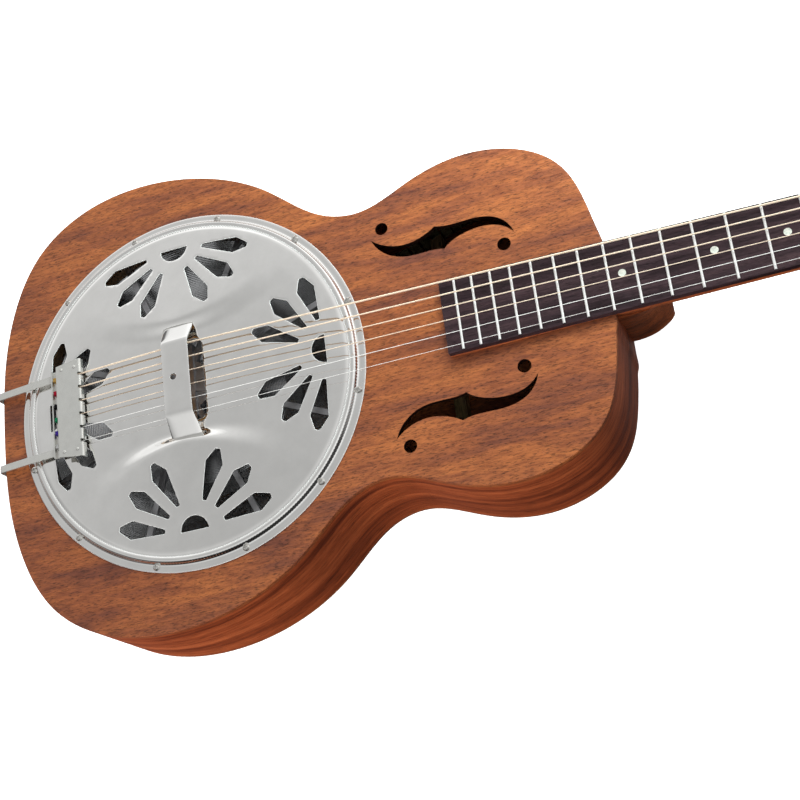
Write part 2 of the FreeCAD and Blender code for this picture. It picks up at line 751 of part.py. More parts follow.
def make_truss_cover():
    """A plain rounded triangle over the truss rod pocket."""
    outline = [(-0.6, 9.5), (7, 9.8), (20, 7.5), (32, 3.2), (35, 0), (32, -3.2), (20, -7.5), (7, -9.8),
               (-0.6, -9.5)]
    cover = to_head(polygon_prism([(s + 1.5, y) for s, y in outline], 0, 1.8))
    return cover.cut(head_screws())


def small_screw(radius, z0, z1, s, y, upward):
    """A countersunk wood screw square to the headstock."""
    shank = post(radius, z0, z1, s, y)
    cap = post(radius * 1.9, z1 - 0.2, z1 + 0.7, s, y)
    screw = shank.fuse(cap)
    if not upward:
        screw.rotate(V(s, y, (z0 + z1) / 2), V(1, 0, 0), 180)
    return screw


def head_screws():
    """Three screws in the truss rod cover and two in each tuner plate."""
    screws = []
    for s, y in ((4.0, 7.0), (4.0, -7.0), (31.0, 0.0)):
        screws.append(to_head(small_screw(0.9, -6, 1.8, s, y, True)))
    back = -VENEER_THICK - HEAD_THICK
    for s, y, side, index in tuner_places():
        for offset in (-6.4, 6.4):
            screws.append(to_head(small_screw(0.9, back - 1.0, back + 7, s - 5.5, y + offset, False)))
    return screws


# ---------------------------------------------------------------- tuning machines

PLATE_LOW = -VENEER_THICK - HEAD_THICK - 1.0
WORM_Z = PLATE_LOW - 3.2
GEAR_WIDE = 2.6
POST_RADIUS = 3.0
POST_HIGH = 19.0
RUN_GAP = 0.06
LUG_OFFSET = 6.8
LUG_THICK = 1.3
WORM_OFFSET = GEAR_PITCH_R + WORM_PITCH_R
SHAFT_RADIUS = 1.5
BUTTON_GAP = 7.0


def make_tuner_plate(s, y):
    """The base plate with its two bearing lugs for the worm shaft."""
    top = -VENEER_THICK - HEAD_THICK
    plate = box(s - 9.5, s + 11.5, y - 9.0, y + 9.0, PLATE_LOW, top)
    uprights = [edge for edge in plate.Edges if abs(edge.tangentAt(0).z) > 0.9]
    plate = plate.makeFillet(2.0, uprights)
    parts = [plate]
    for offset in (-LUG_OFFSET, LUG_OFFSET):
        y0 = y + offset - LUG_THICK / 2
        x = s + WORM_OFFSET
        parts.append(box(x - 2.9, x + 2.9, y0, y0 + LUG_THICK, WORM_Z, PLATE_LOW))
        parts.append(Part.makeCylinder(2.9, LUG_THICK, V(x, y0, WORM_Z), V(0, 1, 0)))
    plate = fuse_all(parts)
    bore = Part.makeCylinder(SHAFT_RADIUS + RUN_GAP, 30, V(s + WORM_OFFSET, y - 15, WORM_Z), V(0, 1, 0))
    post_hole = post(POST_RADIUS + RUN_GAP, PLATE_LOW - 1, top + 1, s, y)
    return to_head(plate.cut([bore, post_hole])).cut(head_screws())


def make_bushing(s, y):
    """The pressed bushing that carries the post at the face of the headstock."""
    sleeve = post(4.4, -7, 0.6, s, y)
    flange = post(6.0, 0, 1.0, s, y)
    dome = Part.makeCone(6.0, 4.4, 0.8, V(s, y, 1.0))
    return to_head(fuse_all([sleeve, flange, dome]).cut(post(POST_RADIUS + RUN_GAP, -10, 5, s, y)))


def make_post(s, y):
    """The string post. Its lower stub carries the gear."""
    waist = 2.3
    gear_low = WORM_Z - GEAR_WIDE / 2
    gear_high = WORM_Z + GEAR_WIDE / 2
    profile = [(0, gear_low - 1.3), (3.2, gear_low - 1.3), (3.2, gear_low), (2.0, gear_low),
               (2.0, gear_high), (POST_RADIUS, gear_high), (POST_RADIUS, 6.5), (waist, 8.5),
               (waist, 12.5), (POST_RADIUS, 14.5), (POST_RADIUS, POST_HIGH - 0.8),
               (POST_RADIUS - 0.8, POST_HIGH), (0, POST_HIGH)]
    shaft = turned(profile)
    string_hole = Part.makeCylinder(0.9, 12, V(-6, 0, 10.5), V(1, 0, 0))
    slot = box(-4, 4, -0.5, 0.5, gear_low - 2, gear_low - 0.7)
    shaft = shaft.cut([string_hole, slot])
    shaft.translate(V(s, y, 0))
    return to_head(shaft)


def make_gear(s, y):
    """The worm wheel, with a gap between two teeth facing the worm."""
    outer = 5.55
    root = 4.3
    tip_half = 0.28
    root_half = 0.52
    wheel = post(root, 0, GEAR_WIDE)
    tooth = polygon_prism([(root - 0.4, -root_half), (outer, -tip_half), (outer, tip_half),
                           (root - 0.4, root_half)], 0, GEAR_WIDE)
    pitch = 360.0 / GEAR_TEETH
    teeth = [about_z(tooth, pitch * (i + 0.5)) for i in range(GEAR_TEETH)]
    gear = fuse_all([wheel] + teeth).cut(post(2.0, -1, GEAR_WIDE + 1))
    gear.translate(V(s, y, WORM_Z - GEAR_WIDE / 2))
    return to_head(gear)


def worm_thread(length):
    """One right-hand turn after another of a trapezoid thread about the Z axis.

    The thread passes z = 0 on the -X side.
    """
    pitch = 2 * math.pi * GEAR_PITCH_R / GEAR_TEETH
    turns = int(length / pitch)
    height = turns * pitch
    inner = 1.3
    outer = 2.75
    helix = Part.makeHelix(pitch, height, WORM_PITCH_R)
    section = Part.makePolygon([V(inner, 0, -0.42), V(outer, 0, -0.2), V(outer, 0, 0.2),
                                V(inner, 0, 0.42), V(inner, 0, -0.42)])
    thread = Part.Wire(helix.Edges).makePipeShell([section], True, True)
    thread.translate(V(0, 0, -height / 2))
    half_turn = 180.0 * (turns + 1)
    thread.rotate(V(0, 0, 0), V(0, 0, 1), half_turn)
    return thread


def make_worm(s, y, side):
    """The worm and its shaft, which runs out past the edge of the headstock."""
    inner_end = -(LUG_OFFSET + LUG_THICK / 2 + 0.9)
    outer_end = 37.0 - POST_OFFSET + BUTTON_GAP + 8.0
    core = post(1.55, -(LUG_OFFSET - LUG_THICK / 2 - 0.15), LUG_OFFSET - LUG_THICK / 2 - 0.15)
    shaft = post(SHAFT_RADIUS, inner_end, outer_end)
    collar = post(2.4, LUG_OFFSET + LUG_THICK / 2 + 0.15, LUG_OFFSET + LUG_THICK / 2 + 2.2)
    stop = post(2.2, inner_end - 0.6, -(LUG_OFFSET + LUG_THICK / 2 + 0.15))
    worm = fuse_all([shaft, core, collar, stop, worm_thread(9.0)])
    if side > 0:
        worm.rotate(V(0, 0, 0), V(1, 0, 0), -90)
    else:
        worm.rotate(V(0, 0, 0), V(1, 0, 0), 90)
    worm.translate(V(s + WORM_OFFSET, y, WORM_Z))
    return to_head(worm)


def make_button(s, y, side):
    """A flattened oval knob on the end of the worm shaft."""
    start = 37.0 - POST_OFFSET + BUTTON_GAP
    neck = turned([(SHAFT_RADIUS, 0), (3.0, 0), (3.0, 3.5), (SHAFT_RADIUS, 3.5)])
    knob = Part.makeSphere(1.0)
    stretch = FreeCAD.Matrix()
    stretch.scale(V(9.5, 3.6, 7.0))
    knob = knob.transformGeometry(stretch)
    knob.translate(V(0, 0, 9.5))
    button = fuse_all([neck, knob]).cut(post(SHAFT_RADIUS, -1, 8.0))
    button.translate(V(0, 0, start))
    button.rotate(V(0, 0, 0), V(1, 0, 0), -90 * side)
    button.translate(V(s + WORM_OFFSET, y, WORM_Z))
    return to_head(button)


# ---------------------------------------------------------------- strings

def head_point(s, y, z):
    """A point of the headstock's own frame in the guitar's frame."""
    tilt = math.radians(HEAD_ANGLE) + math.atan(-NECK_SLOPE)
    x = head_top_x + s * math.cos(tilt) + z * math.sin(tilt)
    return V(x, y, neck_z(head_top_x) - s * math.sin(tilt) + z * math.cos(tilt))


def make_string(index, s, y, side):
    """Straight runs from the ball end over saddle and nut to the tuner post."""
    radius = STRING_GAUGES[index] / 2
    ball_z = TAIL_PLATE_Z + ARM_THICK + BALL_RADIUS
    inner_side = y - side * (POST_RADIUS + 0.5)
    points = [
        V(BALL_X + BALL_RADIUS, string_y(index, BALL_SPREAD), ball_z),
        V(0.0, string_y(index, SADDLE_SPREAD), STRING_Z_AT_SADDLE),
        V(SCALE_LENGTH, string_y(index, NUT_SPREAD), STRING_Z_AT_NUT),
        V(SCALE_LENGTH + NUT_LONG, string_y(index, NUT_SPREAD), STRING_Z_AT_NUT - 1.0),
        head_point(s - 1.0, inner_side, 10.5)]
    path = Part.makePolygon(points)
    section = Part.Wire(Part.makeCircle(radius, points[0], points[1] - points[0]))
    return path.makePipeShell([section], True, False, 1)


# ---------------------------------------------------------------- build

def build_body(screws):
    save("body_top", make_top(screws))
    save("body_back", make_back())
    rim, other_rim = make_rims()
    save("rim_bass", rim)
    save("rim_treble", other_rim)
    neck_block = make_neck_block()
    tail_block = make_tail_block()
    save("neck_block", neck_block)
    button = make_strap_button()
    save("strap_button", button)
    save("tail_block", tail_block.cut(button))
    blocks = [neck_block, tail_block, tenon()]
    save("lining_top", make_lining(top_inner_z - 13, top_inner_z, blocks))
    save("lining_back", make_lining(BACK_THICK, BACK_THICK + 13, blocks))
    back_bars = make_braces((-105.0, -20.0, 75.0, 185.0), 9.0, BACK_THICK, BACK_THICK + 12)
    top_bars = make_braces((146.5, 264.5), 6.5, top_inner_z - 12, top_inner_z)
    save("braces", [back_bars, top_bars])
    save("soundwell", make_soundwell().cut(screws))


def build_resonator(screws):
    save("cone", make_cone())
    tension_screw = make_tension_screw()
    save("tension_screw", tension_screw)
    save("spider", make_spider(tension_screw))
    save("coverplate", make_coverplate(screws))
    save("coverplate_screws", screws)
    save("hand_rest", make_hand_rest())
    save("tailpiece_frame", make_tailpiece_frame())
    rivets = tailpiece_rivets()
    save("tailpiece_cover", make_tailpiece_cover().cut(rivets))
    save("tailpiece_rivets", rivets)
    save("ball_ends", make_ball_ends())


def build_neck(strings):
    save("neck", make_neck())
    save("neck_extension", make_neck_extension())
    frets = make_frets()
    markers = make_markers()
    save("frets", frets)
    save("fret_markers", markers)
    save("fingerboard", make_fingerboard(frets + markers))
    save("nut", make_nut(strings))
    save("truss_rod", make_truss_rod())
    save("truss_rod_cover", make_truss_cover())
    save("head_veneer", make_head_veneer())
    save("head_screws", head_screws())


def build_tuners():
    plates = []
    bushings = []
    for number, (s, y, side, index) in enumerate(tuner_places(), start=1):
        plates.append(make_tuner_plate(s, y))
        bushings.append(make_bushing(s, y))
        save("tuner_post_%d" % number, make_post(s, y))
        save("tuner_gear_%d" % number, make_gear(s, y))
        save("tuner_worm_%d" % number, make_worm(s, y, side))
        save("tuner_button_%d" % number, make_button(s, y, side))
    save("tuner_plates", plates)
    save("tuner_bushings", bushings)


def main():
    os.makedirs("parts", exist_ok=True)
    strings = [None] * STRING_COUNT
    for s, y, side, index in tuner_places():
        strings[index] = make_string(index, s, y, side)
    screws = plate_screws()
    save("strings_wound", strings[:WOUND_STRINGS])
    save("strings_plain", strings[WOUND_STRINGS:])
    save("saddles", [half.cut(strings) for half in make_saddles()])
    build_body(screws)
    build_resonator(screws)
    build_neck(strings)
    build_tuners()


main()
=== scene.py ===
"""Looks of a resonator guitar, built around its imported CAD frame.

Lengths are metres, apart from the millimetre values that are multiplied by MM.
"""
import json
import math

import bmesh
import bpy
import numpy as np
from mathutils import Matrix, Vector
from mathutils.geometry import delaunay_2d_cdt


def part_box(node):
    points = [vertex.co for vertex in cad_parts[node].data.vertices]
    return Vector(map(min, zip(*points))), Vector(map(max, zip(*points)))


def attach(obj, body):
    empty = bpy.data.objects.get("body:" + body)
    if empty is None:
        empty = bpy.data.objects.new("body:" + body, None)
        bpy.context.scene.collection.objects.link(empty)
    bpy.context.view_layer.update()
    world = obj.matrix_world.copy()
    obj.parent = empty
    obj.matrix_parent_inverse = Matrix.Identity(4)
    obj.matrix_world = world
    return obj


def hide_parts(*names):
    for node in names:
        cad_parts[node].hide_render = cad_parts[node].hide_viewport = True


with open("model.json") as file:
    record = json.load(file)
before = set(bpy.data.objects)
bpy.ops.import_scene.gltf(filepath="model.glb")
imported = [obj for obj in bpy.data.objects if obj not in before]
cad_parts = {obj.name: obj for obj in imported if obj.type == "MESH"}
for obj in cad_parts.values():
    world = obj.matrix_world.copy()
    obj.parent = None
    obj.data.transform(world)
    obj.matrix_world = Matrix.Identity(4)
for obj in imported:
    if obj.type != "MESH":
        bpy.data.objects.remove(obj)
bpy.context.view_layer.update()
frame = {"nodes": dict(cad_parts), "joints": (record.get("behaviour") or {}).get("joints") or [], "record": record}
nodes = frame["nodes"]

MM = 0.001
WAVE_UNIT = 0.31416           # a wave texture at scale 1 repeats over this length
HOLE_REACH_X = (0.130, 0.288)                  # the sound holes of the top lie inside this box
HOLE_REACH_Y = 0.100
TOP_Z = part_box("body_top")[1].z


# ---------------------------------------------------------------- small helpers

def srgb(red, green, blue):
    """A colour given as 0-255 screen values, as the linear colour a shader wants."""
    linear = []
    for value in (red, green, blue):
        share = value / 255.0
        linear.append(share / 12.92 if share <= 0.04045 else ((share + 0.055) / 1.055) ** 2.4)
    return (*linear, 1.0)


def smooth_step(t):
    t = np.clip(t, 0.0, 1.0)
    return t * t * (3.0 - 2.0 * t)


def add_object(name, mesh, body, material):
    """Puts a mesh in the scene as a piece that rides on a body."""
    piece = bpy.data.objects.new(name, mesh)
    bpy.context.scene.collection.objects.link(piece)
    piece.data.materials.clear()
    piece.data.materials.append(material)
    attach(piece, body)
    return piece


def mesh_from(name, verts, faces, smooth=True):
    mesh = bpy.data.meshes.new(name)
    mesh.from_pydata([tuple(v) for v in verts], [], faces)
    mesh.update()
    if smooth:
        mesh.shade_smooth()
    return mesh


def bevel(piece, width, segments=2, angle=35.0):
    """Rounds the sharp edges of a piece."""
    modifier = piece.modifiers.new("soft_edges", "BEVEL")
    modifier.width = width
    modifier.segments = segments
    modifier.limit_method = "ANGLE"
    modifier.angle_limit = math.radians(angle)
    modifier.harden_normals = False
    modifier.use_clamp_overlap = True


def tube(points, radii, sides=12):
    """A closed round tube through the points, with its own radius at each."""
    verts = []
    faces = []
    count = len(points)
    normal = None
    for i, point in enumerate(points):
        before = points[max(i - 1, 0)]
        after = points[min(i + 1, count - 1)]
        along = (after - before).normalized()
        if normal is None:
            normal = along.orthogonal().normalized()
        normal = (normal - along * normal.dot(along)).normalized()
        across = along.cross(normal)
        for j in range(sides):
            turn = 2 * math.pi * j / sides
            verts.append(point + (normal * math.cos(turn) + across * math.sin(turn)) * radii[i])
    for i in range(count - 1):
        for j in range(sides):
            a = i * sides + j
            b = i * sides + (j + 1) % sides
            faces.append((a, b, b + sides, a + sides))
    faces.append(tuple(reversed(range(sides))))
    faces.append(tuple((count - 1) * sides + j for j in range(sides)))
    return verts, faces


def turned_ring(profile, steps):
    """A ring about Z whose closed cross-section is a list of (radius, height) pairs."""
    verts = []
    faces = []
    for radius, height in profile:
        for j in range(steps):
            turn = 2 * math.pi * j / steps
            verts.append(Vector((radius * math.cos(turn), radius * math.sin(turn), height)))
    rows = len(profile)
    for i in range(rows):
        for j in range(steps):
            k = (j + 1) % steps
            a = i * steps
            b = ((i + 1) % rows) * steps
            faces.append((a + j, a + k, b + k, b + j))
    return verts, faces


def joined(parts):
    """Several (verts, faces) pairs as one."""
    verts = []
    faces = []
    for part_verts, part_faces in parts:
        base = len(verts)
        verts.extend(part_verts)
        faces.extend(tuple(i + base for i in face) for face in part_faces)
    return verts, faces


def clean(mesh):
    """Merges doubled points and turns every face outwards."""
    work = bmesh.new()
    work.from_mesh(mesh)
    bmesh.ops.remove_doubles(work, verts=work.verts, dist=1e-7)
    bmesh.ops.recalc_face_normals(work, faces=work.faces)
    work.to_mesh(mesh)
    work.free()


# ---------------------------------------------------------------- materials

def new_material(name):
    material = bpy.data.materials.new(name)
    material.use_nodes = True
    return material, material.node_tree, material.node_tree.nodes["Principled BSDF"]


def add_node(tree, kind, values=None, **settings):
    node = tree.nodes.new("ShaderNode" + kind)
    for key, value in settings.items():
        setattr(node, key, value)
    for key, value in (values or {}).items():
        node.inputs[key].default_value = value
    return node


def scaled_place(tree, scale):
    """Object coordinates, stretched by scale."""
    place = add_node(tree, "TexCoord")
    mapping = add_node(tree, "Mapping", {"Scale": scale})
    tree.links.new(place.outputs["Object"], mapping.inputs["Vector"])
    return mapping.outputs["Vector"]


def noise(tree, vector, scale, detail=4.0, roughness=0.55, distortion=0.0):
    node = add_node(tree, "TexNoise", {
        "Scale": scale, "Detail": detail, "Roughness": roughness, "Distortion": distortion})
    tree.links.new(vector, node.inputs["Vector"])
    return node.outputs["Fac"]


def ramp(tree, factor, stops):
    """A colour ramp. Each stop is (position, colour)."""
    node = add_node(tree, "ValToRGB")
    elements = node.color_ramp.elements
    while len(elements) < len(stops):
        elements.new(0.5)
    for element, (position, colour) in zip(elements, stops):
        element.position = position
        element.color = colour
    tree.links.new(factor, node.inputs["Fac"])
    return node.outputs["Color"]


def grey(value):
    return (value, value, value, 1.0)


def mix(tree, first, second, factor, blend="MIX"):
    """Mixes two colours. factor is a socket or a number."""
    node = add_node(tree, "Mix", data_type="RGBA", blend_type=blend)
    for socket, value in ((node.inputs["Factor"], factor), (node.inputs[6], first), (node.inputs[7], second)):
        if isinstance(value, bpy.types.NodeSocket):
            tree.links.new(value, socket)
        else:
            socket.default_value = value
    return node.outputs[2]


def bump(tree, shader, height, strength, distance):
    node = add_node(tree, "Bump", {"Strength": strength, "Distance": distance})
    tree.links.new(height, node.inputs["Height"])
    tree.links.new(node.outputs["Normal"], shader.inputs["Normal"])


def math_node(tree, operation, first, second):
    node = add_node(tree, "Math", operation=operation)
    for socket, value in ((node.inputs[0], first), (node.inputs[1], second)):
        if isinstance(value, bpy.types.NodeSocket):
            tree.links.new(value, socket)
        else:
            socket.default_value = value
    return node.outputs[0]


def wood(name, colours, grain, figure=1.0, pore_depth=0.5, roughness=0.42, shift=0.0, shine=0.35):
    """Open-pored wood. colours are dark, mid and light; grain is the stretch of x, y and z.

    Broad figure, narrow streaks and short dark pores all follow the long direction
    of the grain, the axis with the smallest stretch.
    """
    dark, mid, light = colours
    material, tree, shader = new_material(name)
    place = scaled_place(tree, grain)
    offset = add_node(tree, "Mapping", {"Location": (shift, shift * 1.7, shift * 0.6)})
    tree.links.new(place, offset.inputs["Vector"])
    place = offset.outputs["Vector"]
    broad = noise(tree, place, 1.0, detail=6.0, roughness=0.62, distortion=0.25 * figure)
    streak = noise(tree, place, 7.0, detail=8.0, roughness=0.74, distortion=0.12 * figure)
    fleck = noise(tree, place, 24.0, detail=3.0, roughness=0.55)
    body = ramp(tree, broad, [(0.34, dark), (0.48, mid), (0.64, light)])
    streaks = ramp(tree, streak, [(0.36, srgb(196, 184, 190)), (0.50, grey(0.92)), (0.64, grey(1.18))])
    body = mix(tree, body, streaks, 0.9, "MULTIPLY")
    pores = ramp(tree, fleck, [(0.38, grey(0.30)), (0.45, grey(1.0))])
    body = mix(tree, body, pores, 0.8, "MULTIPLY")
    tree.links.new(body, shader.inputs["Base Color"])
    polish = ramp(tree, streak, [(0.3, grey(roughness + 0.10)), (0.7, grey(roughness - 0.05))])
    tree.links.new(polish, shader.inputs["Roughness"])
    shader.inputs["Specular IOR Level"].default_value = shine
    bump(tree, shader, pores, pore_depth, 0.00012)
    return material, body


def paint_shade_in_holes(made):
    """Paints shade on the cut walls of the sound holes of the top: blackens them, inside a box around them."""
    material, body = made
    tree = material.node_tree
    shader = tree.nodes["Principled BSDF"]
    geometry = add_node(tree, "NewGeometry")
    facing = add_node(tree, "SeparateXYZ")
    tree.links.new(geometry.outputs["Normal"], facing.inputs[0])
    upright = math_node(tree, "LESS_THAN", math_node(tree, "ABSOLUTE", facing.outputs["Z"], 0.0), 0.35)
    place = add_node(tree, "SeparateXYZ")
    tree.links.new(scaled_place(tree, (1.0, 1.0, 1.0)), place.inputs[0])
    within = math_node(tree, "LESS_THAN", math_node(tree, "ABSOLUTE", place.outputs["Y"], 0.0), HOLE_REACH_Y)
    along = math_node(tree, "SUBTRACT", place.outputs["X"], (HOLE_REACH_X[0] + HOLE_REACH_X[1]) / 2)
    half = (HOLE_REACH_X[1] - HOLE_REACH_X[0]) / 2
    near_hole = math_node(tree, "LESS_THAN", math_node(tree, "ABSOLUTE", along, 0.0), half)
    share = math_node(tree, "MULTIPLY", math_node(tree, "MULTIPLY", upright, within), near_hole)
    # the near-black colour is painted shade on the hole walls
    tree.links.new(mix(tree, body, srgb(26, 12, 8), share), shader.inputs["Base Color"])
    return material


def metal(name, colour, roughness, wear=0.02, scale=180.0, brushed=None, metallic=1.0):
    """Plated or cast metal with faint uneven polish. brushed stretches the marks."""
    material, tree, shader = new_material(name)
    place = scaled_place(tree, brushed or (1.0, 1.0, 1.0))
    marks = noise(tree, place, scale, detail=4.0)
    shine = ramp(tree, marks, [(0.35, grey(roughness - wear)), (0.65, grey(roughness + wear))])
    tree.links.new(shine, shader.inputs["Roughness"])
    darker = tuple(c * 0.93 for c in colour[:3]) + (1.0,)
    tone = ramp(tree, marks, [(0.3, darker), (0.7, colour)])
    tree.links.new(tone, shader.inputs["Base Color"])
    shader.inputs["Metallic"].default_value = metallic
    bump(tree, shader, marks, 0.04, 0.00005)
    return material


def spun_metal(name, colour, roughness):
    """Spun aluminium with fine turning rings about the cone's axis."""
    material, tree, shader = new_material(name)
    place = scaled_place(tree, (1.0, 1.0, 1.0))
    rings = add_node(tree, "TexWave", {"Scale": 260.0, "Distortion": 1.2, "Detail": 2.0},
                     wave_type="RINGS", rings_direction="Z")
    tree.links.new(place, rings.inputs["Vector"])
    tone = ramp(tree, rings.outputs["Fac"], [
        (0.2, tuple(c * 0.8 for c in colour[:3]) + (1.0,)), (0.8, colour)])
    tree.links.new(tone, shader.inputs["Base Color"])
    shader.inputs["Metallic"].default_value = 1.0
    shader.inputs["Roughness"].default_value = roughness
    bump(tree, shader, rings.outputs["Fac"], 0.35, 0.00015)
    return material


def plastic(name, colour, roughness, mottle=0.12):
    material, tree, shader = new_material(name)
    place = scaled_place(tree, (1.0, 1.0, 1.0))
    cloud = noise(tree, place, 300.0, detail=3.0)
    darker = tuple(c * (1.0 - mottle) for c in colour[:3]) + (1.0,)
    tone = ramp(tree, cloud, [(0.35, darker), (0.65, colour)])
    tree.links.new(tone, shader.inputs["Base Color"])
    shine = ramp(tree, cloud, [(0.3, grey(roughness * 0.85)), (0.7, grey(roughness * 1.2))])
    tree.links.new(shine, shader.inputs["Roughness"])
    bump(tree, shader, cloud, 0.05, 0.00003)
    return material


def paper():
    """The pale studio paper, as bright as the light around it."""
    material, _, shader = new_material("pale_paper")
    shader.inputs["Base Color"].default_value = grey(0.80)
    shader.inputs["Roughness"].default_value = 0.9
    shader.inputs["Emission Color"].default_value = grey(1.0)
    shader.inputs["Emission Strength"].default_value = 0.97
    return material


def pearl():
    """Shell inlay: pale, with soft cool and warm clouds."""
    material, tree, shader = new_material("pearl_inlay")
    place = scaled_place(tree, (1.0, 1.6, 1.0))
    cloud = noise(tree, place, 420.0, detail=3.0, distortion=1.6)
    tone = ramp(tree, cloud, [
        (0.3, srgb(150, 154, 146)), (0.5, srgb(190, 190, 180)), (0.7, srgb(198, 186, 178))])
    tree.links.new(tone, shader.inputs["Base Color"])
    shader.inputs["Roughness"].default_value = 0.18
    shader.inputs["Coat Weight"].default_value = 0.6
    shader.inputs["Coat Roughness"].default_value = 0.05
    return material


def wound_wire(name, colour, pitch):
    """A string's winding: fine ridges across the string, which runs along X. The grooves between the ridges carry
    painted shade.
    """
    material, tree, shader = new_material(name)
    place = scaled_place(tree, (1.0, 1.0, 1.0))
    ridges = add_node(tree, "TexWave", {"Scale": WAVE_UNIT / pitch}, bands_direction="X")
    tree.links.new(place, ridges.inputs["Vector"])
    # the dark end of this ramp is painted shade in the grooves between the windings
    tone = ramp(tree, ridges.outputs["Fac"], [
        (0.05, tuple(c * 0.45 for c in colour[:3]) + (1.0,)), (0.5, colour)])
    tree.links.new(tone, shader.inputs["Base Color"])
    shader.inputs["Metallic"].default_value = 0.35
    shader.inputs["Roughness"].default_value = 0.38
    bump(tree, shader, ridges.outputs["Fac"], 0.8, 0.0001)
    return material


MAHOGANY = (srgb(102, 55, 39), srgb(132, 72, 42), srgb(155, 88, 47))
MAHOGANY_SIDE = (srgb(90, 38, 22), srgb(140, 67, 37), srgb(164, 84, 48))
# lighter than the body's mahogany: a painted highlight for the lit side strip of the neck extension, also used for
# the block
MAHOGANY_NECK_PAINTED_HIGHLIGHT = (srgb(110, 55, 30), srgb(158, 82, 45), srgb(188, 103, 56))
LINING = (srgb(92, 86, 64), srgb(118, 110, 84), srgb(138, 128, 100))
# darker than fresh spruce: painted shade for the braces inside the body
SPRUCE_PAINTED_SHADE = (srgb(108, 88, 58), srgb(130, 108, 74), srgb(148, 124, 88))
PLYWOOD = (srgb(120, 88, 56), srgb(156, 120, 80), srgb(178, 142, 98))
MAPLE = (srgb(120, 78, 42), srgb(168, 116, 66), srgb(196, 144, 88))
ROSEWOOD = (srgb(32, 21, 24), srgb(47, 33, 37), srgb(61, 44, 47))
ALONG_X = (7.0, 62.0, 62.0)
SHORT_GRAIN = (11.0, 60.0, 60.0)
ALONG_RIM = (2.5, 2.5, 55.0)

mats = {
    "mahogany_top": paint_shade_in_holes(wood("mahogany_top", MAHOGANY, SHORT_GRAIN)),
    "mahogany_back": wood("mahogany_back", MAHOGANY, SHORT_GRAIN, shift=5.3)[0],
    "mahogany_side": wood("mahogany_side", MAHOGANY_SIDE, ALONG_RIM, figure=0.3, shift=2.0, shine=0.2)[0],
    "mahogany_neck": wood("mahogany_neck", MAHOGANY_NECK_PAINTED_HIGHLIGHT, ALONG_X, figure=0.5, shift=9.1, shine=0.25)[0],
    "lining_wood": wood("lining_wood", LINING, ALONG_X, shine=0.1)[0],
    "block_wood": wood("block_wood", MAHOGANY_NECK_PAINTED_HIGHLIGHT, (60.0, 60.0, 7.0))[0],
    "brace_spruce": wood("brace_spruce", SPRUCE_PAINTED_SHADE, (60.0, 6.0, 60.0), pore_depth=0.2)[0],
    "well_plywood": wood("well_plywood", PLYWOOD, (12.0, 12.0, 260.0), pore_depth=0.2)[0],
    "cone_aluminium": spun_metal("cone_aluminium", (0.56, 0.57, 0.58, 1.0), 0.20),
    "spider_aluminium": metal("spider_aluminium", (0.42, 0.42, 0.43, 1.0), 0.45, wear=0.08, scale=700.0),
    "saddle_maple": wood("saddle_maple", MAPLE, (60.0, 9.0, 60.0), pore_depth=0.1)[0],
    "nickel_plate": metal("nickel_plate", (0.80, 0.795, 0.775, 1.0), 0.05, wear=0.008, scale=60.0),
    "nickel_trim": metal("nickel_trim", (0.61, 0.60, 0.57, 1.0), 0.14, wear=0.02, scale=150.0,
                         metallic=0.8),
    "steel_screw": metal("steel_screw", (0.62, 0.61, 0.58, 1.0), 0.20, wear=0.05, scale=900.0),
    "rosewood": wood("rosewood", ROSEWOOD, (9.0, 120.0, 120.0), roughness=0.5, pore_depth=0.6, shine=0.15)[0],
    # rolled edges: duller, and whiter and less metallic than the plate, a painted highlight along every hole edge
    "rolled_edge": metal("rolled_edge", (0.97, 0.96, 0.94, 1.0), 0.45, wear=0.03, scale=500.0,
                         metallic=0.35),
    "fret_wire": metal("fret_wire", (0.97, 0.96, 0.94, 1.0), 0.30, wear=0.04, scale=500.0,
                       brushed=(3.0, 0.2, 1.0), metallic=0.8),
    "pearl": pearl(),
    "pale_paper": paper(),
    "bone": plastic("bone_nut", srgb(228, 216, 186), 0.35),
    "string_steel": metal("string_steel", (0.98, 0.95, 0.92, 1.0), 0.38, wear=0.04, scale=900.0,
                          metallic=0.4),
    "ball_brass": metal("ball_brass", (0.72, 0.53, 0.26, 1.0), 0.28, wear=0.06, scale=900.0),
    "rod_steel": metal("rod_steel", (0.35, 0.35, 0.36, 1.0), 0.45, wear=0.1, scale=400.0),
    "cover_plastic": plastic("cover_plastic", srgb(22, 21, 22), 0.22),
    "gear_brass": metal("gear_brass", (0.66, 0.50, 0.27, 1.0), 0.32, wear=0.06, scale=900.0),
    "button_nickel": metal("button_nickel", (0.78, 0.77, 0.74, 1.0), 0.16, wear=0.03, scale=300.0),
    "string_bronze": wound_wire("string_bronze", (1.0, 0.80, 0.62, 1.0), 0.45 * MM),
}


def paint_cad_nodes():
    """Gives every CAD node the material of its slot."""
    for entry in frame["record"]["subparts"]:
        node = nodes[entry["node"]]
        node.data.materials.clear()
        node.data.materials.append(mats[entry["material_slot"]])


# ---------------------------------------------------------------- camera, light, floor

CAMERA_PLACE = (0.4078, -0.4186, TOP_Z + 0.8757)
CAMERA_AHEAD = Vector((-0.27567, 0.34284, -0.89803))
CAMERA_RIGHT = Vector((0.93592, -0.11732, -0.33209))
CAMERA_LENS = 63.4
CAMERA_SHIFT = (0.0279, 0.066)


